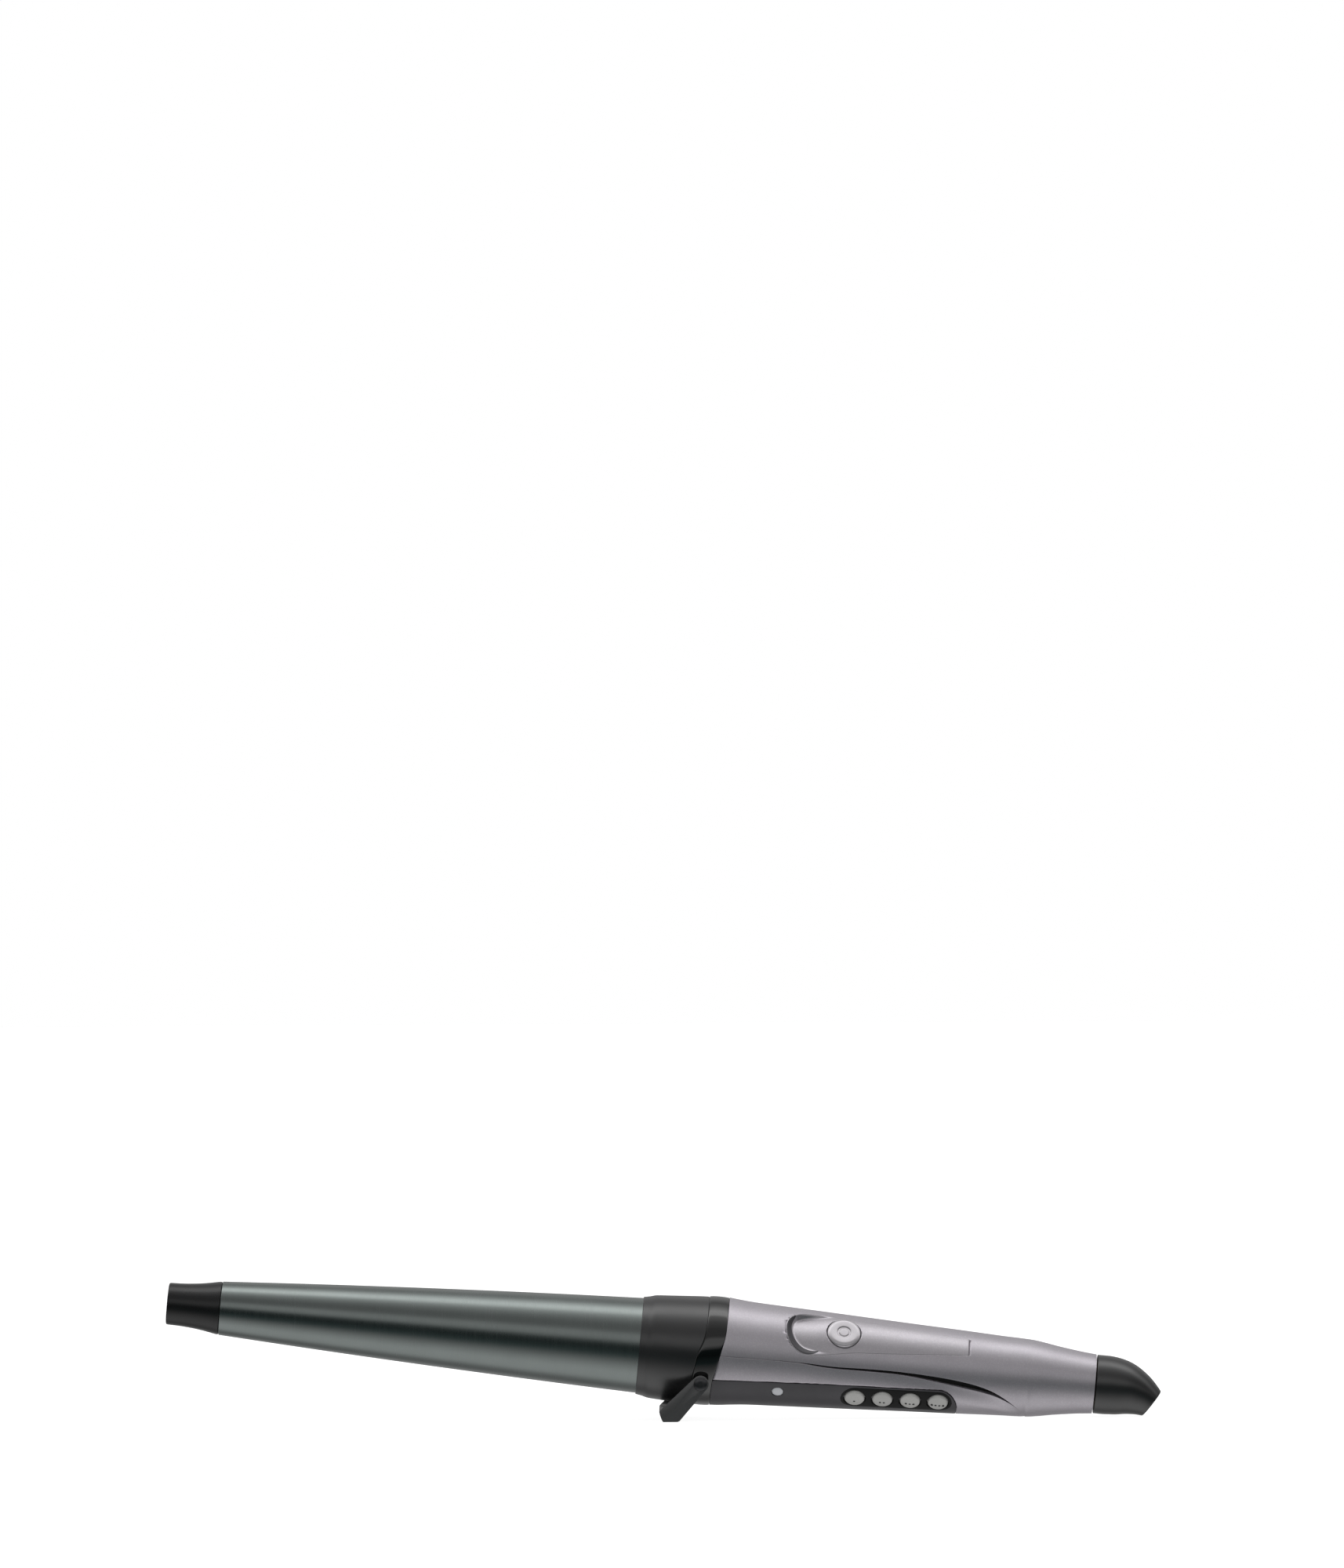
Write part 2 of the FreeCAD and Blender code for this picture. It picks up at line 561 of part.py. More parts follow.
key_frame = spoke("key_angle")
key_spots = [value("key_first") + number * value("key_pitch") for number in range(4)]
key_holes = [
    rod(f"KeyHole_{number}", (spot, 0, 0), (0, 0, 1), "key_hole_r", "8", "25", key_frame)
    for number, spot in enumerate(key_spots, start=1)]
lamp_hole = rod("LampHole", (value("lamp_at"), 0, 0), (0, 0, 1), "lamp_r", "8", "25",
                spoke("lamp_angle"))
button_hole = rod("ButtonHole", (value("button_at"), 0, 0), (0, 0, 1), "button_hole_r", "8", "25",
                  inlay_frame)

screw_spots = (("front", "screw_front_at", "screw_front_floor"),
               ("back", "screw_back_at", "screw_back_floor"))


def screw_rod(name, where, radius, low, high):
    return rod(name, (value(where), value("screw_y"), 0), (0, 0, 1), radius, low, high)


grip_room = turned("GripRoom", [
    ("grip_from", "0"),
    ("grip_from", "grip_flare_end_r - 1"),
    ("grip_flare_to", "grip_flare_end_r - 1"),
    ("grip_heel_from", "grip_heel_r - 1"),
    ("grip_heel_from", "0"),
], "grip_lift")
lower_bosses = common("LowerBosses", [fused("LowerBossRods", [
    screw_rod(f"LowerBoss_{word}", where, "screw_boss_r", "0 - 20", "split_z - 3")
    for word, where, floor in screw_spots]), grip_room])
upper_bosses = common("UpperBosses", [fused("UpperBossRods", [
    screw_rod(f"UpperBoss_{word}", where, "screw_boss_r", "split_z - 2.9", "20")
    for word, where, floor in screw_spots]), grip_room])
screw_holes = [
    screw_rod(f"ScrewHole_{word}", where, "screw_hole_r", f"{floor} - 0.5", f"{floor} + screw_len + 1")
    for word, where, floor in screw_spots]
screw_counters = [
    screw_rod(f"ScrewCounter_{word}", where, "screw_counter_r", "0 - 30", floor)
    for word, where, floor in screw_spots]
screw_bores = fused("ScrewBores", screw_holes + screw_counters)

lower_half = common("LowerHalf", [grip, below_split])
upper_half = cut("UpperHalf", grip, [below_split])
finish("handle_lower_shell", cut("LowerShell", fused("LowerWithBosses", [lower_half, lower_bosses]),
                                 [panel_pocket, screw_bores, lamp_hole] + key_holes))
finish("handle_upper_shell", cut("UpperShell", fused("UpperWithBosses", [upper_half, upper_bosses]),
                                 [inlay_pocket, screw_bores, button_hole]))
finish("control_panel", cut("ControlPanel", panel_blank, key_holes + [lamp_hole]))
finish("button_inlay", cut("ButtonInlay", inlay_blank, [button_hole]))

finish("shell_screws", grouped("ShellScrews", [
    fused(f"ShellScrew_{word}", [
        screw_rod(f"ScrewShank_{word}", where, "screw_r", floor, f"{floor} + screw_len"),
        screw_rod(f"ScrewHead_{word}", where, "screw_head_r", f"{floor} - screw_head_t", floor)])
    for word, where, floor in screw_spots]))

# ---------------------------------------------------------------- keys, button and lamp

for number, spot in enumerate(key_spots, start=1):
    surface = grip_radius(spot)
    cap = rod(f"KeyCap_{number}", (spot, 0, 0), (0, 0, 1), "key_r",
              surface - value("key_flange_drop"), surface + value("key_proud"), key_frame)
    rim = rod(f"KeyRim_{number}", (spot, 0, 0), (0, 0, 1), "key_flange_r",
              surface - value("key_flange_drop + key_flange_t"), surface - value("key_flange_drop"),
              key_frame)
    stem = rod(f"KeyStem_{number}", (spot, 0, 0), (0, 0, 1), "key_stem_r",
               value("key_board_top + switch_h") + 1.0, surface - value("key_flange_drop"), key_frame)
    finish(f"heat_key_{number}", fused(f"HeatKey_{number}", [cap, rim, stem]))

button_spot = (value("button_at"), 0, 0)
finish("power_button", fused("PowerButton", [
    rod("ButtonCap", button_spot, (0, 0, 1), "button_r", "button_flange_top", "button_top",
        inlay_frame),
    rod("ButtonRim", button_spot, (0, 0, 1), "button_flange_r", "button_flange_top - button_flange_t",
        "button_flange_top", inlay_frame),
    rod("ButtonStem", button_spot, (0, 0, 1), "button_stem_r", "button_stem_low",
        "button_flange_top", inlay_frame)]))

lamp_frame = spoke("lamp_angle")
lamp_surface = grip_radius(value("lamp_at"))
finish("indicator_lens", grouped("IndicatorLens", [
    rod("LensBody", (value("lamp_at"), 0, 0), (0, 0, 1), "lamp_r - 0.03", lamp_surface - 1.5,
        lamp_surface + 0.05, lamp_frame)]))

# ---------------------------------------------------------------- electronics

key_board_low = "key_board_top - board_t"
finish("key_board", grouped("KeyBoard", [
    block("KeyBoardPlate", "key_board_from", "key_board_to", "0 - key_board_half", "key_board_half",
          key_board_low, "key_board_top", key_frame)]))
finish("key_switches", grouped("KeySwitches", [
    block(f"KeySwitch_{number}", spot - value("switch_half"), spot + value("switch_half"),
          "0 - switch_half", "switch_half", "key_board_top + 0.01", "key_board_top + switch_h",
          key_frame)
    for number, spot in enumerate(key_spots, start=1)]))
finish("indicator_led", grouped("IndicatorLed", [
    rod("LedBody", (value("lamp_at"), 0, 0), (0, 0, 1), "1.5", "key_board_top + 0.3",
        "key_board_top + 5", lamp_frame)]))
finish("power_board", grouped("PowerBoard", [
    block("PowerBoardPlate", "power_board_from", "power_board_to", "0 - power_board_half",
          "power_board_half", "power_board_top - board_t", "power_board_top", inlay_frame)]))
finish("power_switch", grouped("PowerSwitch", [
    block("PowerSwitchCase", "button_at - 2.2", "button_at + 2.2", -2.2, 2.2,
          "power_board_top + 0.01", "power_board_top + switch_h", inlay_frame)]))
finish("main_board", grouped("MainBoard", [
    block("MainBoardPlate", "main_board_from", "main_board_to", "main_board_y",
          "main_board_y + board_t", "0 - main_board_half - 0.5", "main_board_half + 0.5")]))
board_face = "main_board_y + board_t + 0.01"
finish("heater_triac", grouped("HeaterTriac", [
    block("TriacCase", "triac_from", "triac_to", board_face, "main_board_y + board_t + triac_h",
          "0 - triac_half", "triac_half")]))
finish("smoothing_capacitor", grouped("SmoothingCapacitor", [
    long_rod("CapacitorCan", "cap_r", "cap_from", "cap_to", "main_board_y + board_t + cap_r + 0.02",
             "0.4")]))
finish("control_chip", grouped("ControlChip", [
    block("ChipCase", "chip_at", "chip_at + chip_side", board_face, "main_board_y + board_t + chip_h",
          "0 - 2.5", "2.5")]))

# ---------------------------------------------------------------- swivel cord outlet

bend = math.radians(value("outlet_bend"))
ball = V(value("outlet_ball_at"), 0, value("grip_lift"))
bend_way = V(math.cos(bend), 0, -math.sin(bend))
hub = turned("OutletHub", [
    ("outlet_flange_from", "outlet_bore_r - 0.5"),
    ("outlet_flange_from", "outlet_flange_r"),
    ("outlet_flange_to", "outlet_flange_r"),
    ("outlet_flange_to", "outlet_stub_r"),
    ("outlet_from", "outlet_stub_r"),
    ("outlet_from", "outlet_root_r - 0.3"),
    ("outlet_from + 0.3", "outlet_root_r"),
    ("outlet_ball_at", "outlet_ball_r"),
    ("outlet_ball_at", "outlet_bore_r - 0.5"),
], "grip_lift")
# Both balls' poles point sideways, clear of the bores, which keeps the joined surfaces simple.
sideways = FreeCAD.Rotation(V(1, 1, 1), -120)
knuckle_ball = doc.addObject("Part::Sphere", "OutletKnuckleBall")
bind(knuckle_ball, "Radius", "outlet_ball_r")
knuckle_ball.Placement = FreeCAD.Placement(ball, sideways)
knuckle = cut("OutletKnuckle", knuckle_ball, [block(
    "KnuckleTrim", "outlet_from - 10", "outlet_from + 1", "0 - 12", "12", "0 - 12", "14")])
snout = doc.addObject("Part::Cone", "OutletSnout")
bind(snout, "Radius1", "outlet_neck_r")
bind(snout, "Radius2", "outlet_end_r")
bind(snout, "Height", "outlet_end_reach")
snout.Placement = FreeCAD.Placement(ball, FreeCAD.Rotation(V(0, 0, 1), bend_way))
cord_bore = rod("CordBore", tuple(ball), tuple(bend_way), "outlet_bore_r", 0, "outlet_end_reach + 2")
hub_bore = long_rod("HubBore", "outlet_bore_r", "outlet_flange_from - 20", "outlet_ball_at", "0",
                    "grip_lift")
bore_elbow = doc.addObject("Part::Sphere", "BoreElbow")
bind(bore_elbow, "Radius", "outlet_bore_r")
bore_elbow.Placement = FreeCAD.Placement(ball, sideways)
stub = turned("OutletStub", [
    ("outlet_stub_from", "0"),
    ("outlet_stub_from", "outlet_stub_r - 0.7"),
    ("outlet_flange_from + 0.1", "outlet_stub_r - 0.7"),
    ("outlet_flange_from + 0.1", "0"),
], "grip_lift")
finish("swivel_outlet", cut("SwivelOutlet", fused("OutletSolid", [hub, stub, knuckle, snout]),
                            [cord_bore, hub_bore, bore_elbow]))

finish("swivel_bush", turned("SwivelBush", [
    ("bush_from", "bush_bore_r"),
    ("bush_from", "bush_r"),
    ("bush_to", "bush_r"),
    ("bush_to", "bush_bore_r"),
], "grip_lift"))

slip_rings = []
for word in ("a", "b"):
    slip_rings.append(turned(f"SlipRing_{word}", [
        (f"slip_ring_{word}", "outlet_stub_r - 0.68"),
        (f"slip_ring_{word}", "slip_ring_r"),
        (f"slip_ring_{word} + slip_ring_t", "slip_ring_r"),
        (f"slip_ring_{word} + slip_ring_t", "outlet_stub_r - 0.68"),
    ], "grip_lift"))
finish("slip_rings", grouped("SlipRings", slip_rings))
finish("contact_fingers", grouped("ContactFingers", [
    block(f"Finger_{word}", f"slip_ring_{word}", f"slip_ring_{word} + slip_ring_t",
          "0 - finger_half", "finger_half", "grip_lift + finger_low", "grip_lift + finger_top")
    for word in ("a", "b")]))

# ---------------------------------------------------------------- place, check and write

doc.recompute()
on_table = FreeCAD.Placement(
    V(value("shift_x"), 0, value("lift_z")), FreeCAD.Rotation(V(0, 1, 0), value("tilt")))
for thing in finished.values():
    thing.Placement = on_table
doc.recompute()

for thing in doc.Objects:
    if "Invalid" in thing.State or "Error" in thing.State:
        raise RuntimeError(f"{thing.Name} did not build: {thing.State}")

os.makedirs("parts", exist_ok=True)
for node, thing in finished.items():
    shape = thing.Shape
    if shape.isNull() or not shape.isValid() or shape.Volume <= 0:
        raise RuntimeError(f"{node} has no valid solid")
    shape.exportStep(f"parts/{node}.step")
    print(f"{node}: {shape.Volume:.1f} mm3, solids {len(shape.Solids)}")
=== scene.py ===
import bmesh
import bpy
import json
import math
from mathutils import Matrix, Vector

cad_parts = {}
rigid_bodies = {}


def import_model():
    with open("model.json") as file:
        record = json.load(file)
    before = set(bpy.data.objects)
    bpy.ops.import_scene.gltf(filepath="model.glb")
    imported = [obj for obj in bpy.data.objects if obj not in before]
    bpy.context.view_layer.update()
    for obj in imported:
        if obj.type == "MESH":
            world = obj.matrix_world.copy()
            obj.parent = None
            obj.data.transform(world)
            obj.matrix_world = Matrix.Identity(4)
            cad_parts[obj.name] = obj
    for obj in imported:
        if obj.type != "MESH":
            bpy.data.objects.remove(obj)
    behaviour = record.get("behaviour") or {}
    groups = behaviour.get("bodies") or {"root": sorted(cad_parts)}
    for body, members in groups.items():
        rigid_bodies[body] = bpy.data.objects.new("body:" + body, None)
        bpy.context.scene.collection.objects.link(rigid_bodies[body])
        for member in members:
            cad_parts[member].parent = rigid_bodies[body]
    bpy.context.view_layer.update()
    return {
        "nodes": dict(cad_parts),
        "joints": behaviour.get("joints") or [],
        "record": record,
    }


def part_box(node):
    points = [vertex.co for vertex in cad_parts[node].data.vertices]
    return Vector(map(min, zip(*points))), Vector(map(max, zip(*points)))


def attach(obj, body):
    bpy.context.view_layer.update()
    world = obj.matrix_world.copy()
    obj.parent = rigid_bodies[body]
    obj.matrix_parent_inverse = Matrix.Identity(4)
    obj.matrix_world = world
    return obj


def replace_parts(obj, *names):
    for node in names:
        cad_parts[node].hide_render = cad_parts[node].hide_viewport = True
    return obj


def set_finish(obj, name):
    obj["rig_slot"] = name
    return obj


# A curling wand lying on its fold-out rest: cool tip, conical barrel, collar, ring, moulded handle and
# a swivelling cord outlet.  Pieces are shaped in the wand's own frame, in millimetres: x runs from the
# cool tip to the cord outlet, y across, z up.  Angles round the wand start at the side with the keys.

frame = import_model()
JOINTS = {joint["name"]: joint for joint in frame["joints"]}

# ------------------------------------------------------------------ the wand's own frame

HANDLE_END = 312.0
HANDLE_LIFT = 0.6
MM = 0.001

along = Vector(JOINTS["cord_swivel"]["axis"])
across = Vector((0, 1, 0))
upward = along.cross(across)
tip_point = Vector(JOINTS["cord_swivel"]["pos_m"]) - MM * (along * HANDLE_END + upward * HANDLE_LIFT)
lie_of_wand = Matrix((along, across, upward)).transposed().to_4x4()
WAND = Matrix.Translation(tip_point) @ lie_of_wand @ Matrix.Scale(MM, 4)
TO_WAND = WAND.inverted()


def centre_of(node):
    """A CAD piece's centre, in the wand's own frame."""
    low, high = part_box(node)
    return TO_WAND @ ((low + high) / 2)


# ------------------------------------------------------------------ camera

LENS = 250.0
FAR_BACK = 3.653
ROLL = math.radians(-0.33)
LOOKING_AT_X = 0.0051
EYE_HEIGHT = 0.213

camera_data = bpy.data.cameras.new("studio_camera")
camera_data.lens = LENS
camera_data.sensor_width = 36.0
camera_data.clip_end = 50.0
camera = bpy.data.objects.new("studio_camera", camera_data)
bpy.context.scene.collection.objects.link(camera)
camera.location = (LOOKING_AT_X, -FAR_BACK, EYE_HEIGHT)
camera.rotation_euler = (Matrix.Rotation(math.radians(90), 3, "X") @ Matrix.Rotation(ROLL, 3, "Z")).to_euler()
bpy.context.scene.camera = camera

# ------------------------------------------------------------------ shape helpers


def mix(low, high, share):
    return low + (high - low) * share


def ease(low, high, x):
    """0 below low, 1 above high and smooth between."""
    share = min(1.0, max(0.0, (x - low) / (high - low)))
    return share * share * (3 - 2 * share)


def through(knots, x):
    """A smooth curve through (x, value) knots, flat outside them."""
    if x <= knots[0][0]:
        return knots[0][1]
    if x >= knots[-1][0]:
        return knots[-1][1]
    spot = max(i for i in range(len(knots) - 1) if knots[i][0] <= x)

    def lean(i):
        before, after = knots[max(i - 1, 0)], knots[min(i + 1, len(knots) - 1)]
        return (after[1] - before[1]) / (after[0] - before[0])

    (x0, v0), (x1, v1) = knots[spot], knots[spot + 1]
    width = x1 - x0
    t = (x - x0) / width
    start = (1 + 2 * t) * (1 - t) ** 2 * v0 + t * (1 - t) ** 2 * width * lean(spot)
    return start + t * t * (3 - 2 * t) * v1 + t * t * (t - 1) * width * lean(spot + 1)


def on_wand(x, radius, angle, lift=0.0):
    """A point at a distance from the wand's axis; angle 0 faces the keys' side and 90 faces up."""
    turn = math.radians(angle)
    return Vector((x, -radius * math.cos(turn), lift + radius * math.sin(turn)))


def softened(corners):
    """Corners (x, r, rounding) of an outline as close points, each corner turned with its rounding."""
    points = []
    count = len(corners)
    for index, (x, r, rounding) in enumerate(corners):
        here = Vector((x, r))
        if rounding == 0:
            points.append(here)
            continue
        before = Vector(corners[index - 1][:2]) - here
        after = Vector(corners[(index + 1) % count][:2]) - here
        reach = min(rounding, before.length * 0.49, after.length * 0.49)
        first, last = here + before.normalized() * reach, here + after.normalized() * reach
        for step in range(7):
            t = step / 6
            points.append((1 - t) ** 2 * first + 2 * t * (1 - t) * here + t * t * last)
    return points


def placed(name, mesh_data):
    """An object from a mesh in the wand's own frame."""
    mesh_data.transform(WAND)
    piece = bpy.data.objects.new(name, mesh_data)
    bpy.context.scene.collection.objects.link(piece)
    return piece


def smooth(piece):
    for face in piece.data.polygons:
        face.use_smooth = True


def new_piece(name, mesh_data, body, slot):
    """A piece from a mesh in the wand's own frame, riding a body and given its finish."""
    piece = placed(name, mesh_data)
    smooth(piece)
    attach(piece, body)
    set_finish(piece, slot)
    return piece


def sheet_of(name, rows, wrap_across=False, wrap_along=False):
    """A mesh of four-sided faces through rows of points."""
    mesh = bmesh.new()
    grid = [[mesh.verts.new(point) for point in row] for row in rows]
    tall, wide = len(grid), len(grid[0])
    for i in range(tall if wrap_along else tall - 1):
        for j in range(wide if wrap_across else wide - 1):
            a, b = grid[i], grid[(i + 1) % tall]
            mesh.faces.new((a[j], a[(j + 1) % wide], b[(j + 1) % wide], b[j]))
    data = bpy.data.meshes.new(name)
    mesh.to_mesh(data)
    mesh.free()
    return data


THINNEST = 0.02


def turned(name, corners, body, slot, steps=160, hollow=False, frame_of=None):
    """A piece turned about the wand's axis, or about the z axis of frame_of, from an outline of corners."""
    outline = softened(corners)
    rows = []
    for step in range(steps):
        angle = 360.0 * step / steps
        if frame_of is None:
            rows.append([on_wand(p.x, max(p.y, THINNEST), angle) for p in outline])
            continue
        turn = math.radians(angle)
        around = Vector((math.cos(turn), math.sin(turn), 0))
        rows.append([frame_of @ (around * max(p.y, THINNEST) + Vector((0, 0, p.x))) for p in outline])
    data = sheet_of(name, rows, wrap_across=hollow, wrap_along=True)
    tidy_faces(data)
    return new_piece(name, data, body, slot)


def tidy_faces(data):
    """Join the points that lie on each other and turn all faces the same way."""
    mesh = bmesh.new()
    mesh.from_mesh(data)
    bmesh.ops.remove_doubles(mesh, verts=mesh.verts, dist=0.004)
    bmesh.ops.recalc_face_normals(mesh, faces=mesh.faces)
    mesh.to_mesh(data)
    mesh.free()


def settle(piece):
    """Apply a piece's modifiers."""
    bpy.context.view_layer.objects.active = piece
    for other in bpy.context.selected_objects:
        other.select_set(False)
    piece.select_set(True)
    for modifier in list(piece.modifiers):
        bpy.ops.object.modifier_apply(modifier=modifier.name)


def thicken(piece, thickness, rim=0.0):
    """Give a skin its thickness inwards and round its rim; sizes in millimetres."""
    solid = piece.modifiers.new("thickness", "SOLIDIFY")
    solid.thickness = thickness * MM
    solid.offset = -1.0
    solid.use_even_offset = False
    if rim:
        bevel = piece.modifiers.new("rim", "BEVEL")
        bevel.width = rim * MM
        bevel.segments = 3
        bevel.limit_method = "ANGLE"
        bevel.angle_limit = math.radians(50)
        bevel.harden_normals = False
    settle(piece)
    smooth(piece)


def carve(piece, cutters):
    """Cut the cutters' shapes out of a piece; the cutters are used up."""
    for cutter in cutters:
        cutting = piece.modifiers.new("cut", "BOOLEAN")
        cutting.operation = "DIFFERENCE"
        cutting.solver = "EXACT"
        cutting.object = cutter
    settle(piece)
    for cutter in cutters:
        bpy.data.objects.remove(cutter)


def outward_faces(piece, probe):
    """Turn the faces so that the skin faces away from the probe point."""
    data = piece.data
    face = data.polygons[len(data.polygons) // 2]
    if (face.center - probe).dot(face.normal) < 0:
        data.flip_normals()


def spoke(x, angle):
    """A frame on the handle's axis whose z points out at this angle and whose x runs along the wand."""
    turn = math.radians(angle)
    out = Vector((0, -math.cos(turn), math.sin(turn)))
    endways = Vector((1, 0, 0))
    turned_frame = Matrix((endways, out.cross(endways), out)).transposed().to_4x4()
    return Matrix.Translation((x, 0, HANDLE_LIFT)) @ turned_frame


# ------------------------------------------------------------------ sizes of the wand's outline

BARREL_FROM, BARREL_TO = 17.8, 159.2
SEAM_RADIUS = 18.0
GRIP = [(183.5, 18.35), (187, 18.15), (191, 17.7), (196, 17.25), (204, 16.85), (220, 16.15), (236, 15.4),
        (251, 14.7), (267, 14.0), (280, 13.35), (287, 13.1), (291, 12.85), (295, 12.25), (299, 11.55),
        (307, 10.45), (312, 9.95)]
CREASE = [(183, -0.2), (205, -0.1), (214.8, -0.2), (224, -0.6), (236, -0.4), (246, -0.4), (256.3, -0.9),
          (264.5, -1.6), (272.6, -2.9), (278.2, -4.6), (282.7, -6.9), (287.0, -9.8), (290.0, -12.6),
          (291.5, -14.5)]
CREASE_DEPTH = [(212, 0.0), (222, 0.2), (240, 0.4), (256, 0.7), (268, 0.9), (278, 0.9), (286, 0.5),
                (291, 0.0)]
GROOVE_WIDTH = [(212, 0.05), (218, 0.4), (235, 0.7), (250, 1.1), (262, 2.0), (269, 2.3), (276, 2.0),
                (283, 1.1), (288, 0.3), (291, 0.05)]
GROOVE_DEPTH = [(205, 0.25), (218, 0.8), (262, 1.1), (280, 1.4), (288, 1.4), (291, 0.4)]
RING_FRONT = [(-20, 176.9), (-7, 177.5), (-0.5, 178.5), (4, 180.0), (9, 180.8), (20, 181.0)]
RING_BACK = [(-20, 183.8), (-9, 184.1), (-4.7, 185.1), (1.5, 186.4), (7, 187.4), (20, 187.7)]
SHELL_FROM, UPPER_TO, LOWER_TO = 183.9, 311.9, 291.2
PANEL_FROM = 184.3
PANEL_TOP = [(183, -8.7), (204, -7.7), (224, -6.75), (261, -5.6), (270, -5.4)]
PANEL_END, PANEL_CORNER = 266.4, 6.5
PANEL_WRAP = 3.0
INLAY_ANGLE = 41.0
INLAY_FROM, INLAY_TO = 207.3, 269.0
NOSE, COVER = 7.6, 0.15
SCOOP_DEEP, WALL_THIN, WALL_EXTRA, WALL_WIDEST_AT = 2.1, 0.8, 2.1, 216
BUTTON_HOLE, KEY_HOLE = 5.85, 3.8


def grip_radius(x):
    return through(GRIP, x)


def crease_angle(x):
    """Where round the handle the two shells meet, on the side with the keys."""
    share = (through(CREASE, x) - HANDLE_LIFT) / grip_radius(x)
    return -90.0 if share <= -1 else math.degrees(math.asin(share))


def leaning(x, start, front, end):
    """Where a mark between front and end comes to lie when the front leans back to start."""
    return start + (x - front) * (end - start) / (end - front)


def inlay_half_width(x, margin=0.0):
    """Half the width of the button's inlay: a round nose that tapers to a narrow square end."""
    centre = INLAY_FROM + NOSE
    if x < centre:
        return math.sqrt(max((NOSE + margin) ** 2 - (centre - x) ** 2, 0.0004))
    return mix(NOSE, 3.2, ease(centre, INLAY_TO + 22, x) * 1.25) + margin


def nose_stretch(x):
    """How much wider the inlay's nose is on its lower side."""
    return 1 + 0.26 * (1 - ease(INLAY_FROM + 8, INLAY_FROM + 26, x))


def inside_inlay(x, width):
    """How far inside the inlay's outline a point is, in millimetres; negative outside."""
    if width < 0:
        width /= nose_stretch(x)
    if x < INLAY_FROM + NOSE:
        return NOSE - math.hypot(INLAY_FROM + NOSE - x, width)
    return min(inlay_half_width(x) - abs(width), INLAY_TO - x)


def scoop_wall(x, width):
    """How wide the scoop's wall is: widest at the nose's lower corner."""
    turn = math.degrees(math.atan2(width, x - INLAY_FROM - NOSE)) % 360
    return WALL_THIN + WALL_EXTRA * math.cos(math.radians(min(90.0, abs(turn - WALL_WIDEST_AT)))) ** 0.8


def scoop_depth(x, width):
    """The thumb scoop in the inlay's nose: a rounded wall, then a floor that runs out under the button."""
    run_out = 1 - ease(INLAY_FROM + 3.0, INLAY_FROM + 17.0, x)
    return SCOOP_DEEP * run_out * ease(0.0, scoop_wall(x, width), inside_inlay(x, width))


def inside_panel(x, y, z):
    """How far inside the control panel's outline a point is, in millimetres; negative outside."""
    below = through(PANEL_TOP, x) - z
    before = PANEL_END - x
    if below < PANEL_CORNER and before < PANEL_CORNER:
        inside = PANEL_CORNER - math.hypot(PANEL_CORNER - below, PANEL_CORNER - before)
    else:
        inside = min(below, before)
    return min(inside, PANEL_WRAP - y) if z < 0 else inside


# ------------------------------------------------------------------ barrel end

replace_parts(turned("cool_tip_shell", [
    (0.0, 0.0, 0), (0.0, 7.0, 1.3), (1.4, 7.05, 0.5), (5.0, 7.15, 3.0), (11.0, 7.7, 5.0), (17.0, 8.85, 0.3),
    (17.75, 8.85, 0.25), (17.75, 7.9, 0), (17.75, 0.0, 0)], "wand", "tip_black"), "cool_tip")

barrel_line = []
for step in range(41):
    share = step / 40
    barrel_line.append((mix(BARREL_FROM + 0.5, BARREL_TO + 4, share),
                        mix(9.0, 16.1, share) + 2.2 * share * (1 - share), 0))
barrel_line = [(BARREL_FROM + 0.1, 0.0, 0), (BARREL_FROM + 0.1, 8.97, 0.25)] + barrel_line
barrel_line.append((BARREL_TO + 4, 0.0, 0))
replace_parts(turned("barrel_tube", barrel_line, "wand", "barrel_grey", steps=192), "barrel")


def sleeve(name, front, back, radius_line, slot, lift, wall, rim, rows=40):
    """A round sleeve between two leaning seams; radius_line gives its radius at a share of its length."""
    steps = 160
    grid = []
    for step in range(steps):
        angle = 360.0 * step / steps
        height = lift + SEAM_RADIUS * math.sin(math.radians(angle))
        start, end = front(height), back(height)
        line = []
        for row in range(rows + 1):
            share = row / rows
            x = mix(start, end, share)
            line.append(on_wand(x, radius_line(share, x), angle, lift))
        grid.append(line)
    piece = new_piece(name, sheet_of(name, grid, wrap_along=True), "wand", slot)
    outward_faces(piece, WAND @ Vector((170, 0, 0)))
    thicken(piece, wall, rim)
    return piece


COLLAR_FROM = 158.9
COLLAR = [(159.0, 16.35), (159.6, 16.45), (161.2, 16.75), (162.6, 17.15), (163.6, 17.3), (168, 17.6),
          (174, 18.0), (179, 18.3), (182, 18.4)]
collar = sleeve("collar_sleeve", lambda z: COLLAR_FROM, lambda z: through(RING_FRONT, z) + 0.05,
                lambda share, x: through(COLLAR, x), "collar_charcoal", 0.0, 1.2, 0.25, rows=70)
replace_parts(collar, "collar")
ring = sleeve("gloss_ring", lambda z: through(RING_FRONT, z) + 0.1, lambda z: through(RING_BACK, z) - 0.03,
              lambda share, x: 18.1 + 0.28 * math.sin(math.pi * share) ** 0.5, "ring_black", 0.35, 1.5, 0.3)

# ------------------------------------------------------------------ handle shells


def seam_start(angle):
    """Where the handle begins behind the leaning ring, at an angle round the wand."""
    return through(RING_BACK, HANDLE_LIFT + SEAM_RADIUS * math.sin(math.radians(angle))) + 0.04


def spread(low, high, fine, coarse, busy):
    """Steps from low to high: fine ones inside the busy stretches and coarse ones elsewhere."""
    marks, x = [low], low
    while x < high:
        x += fine if any(a <= x <= b for a, b in busy) else coarse
        marks.append(min(x, high))
    return marks


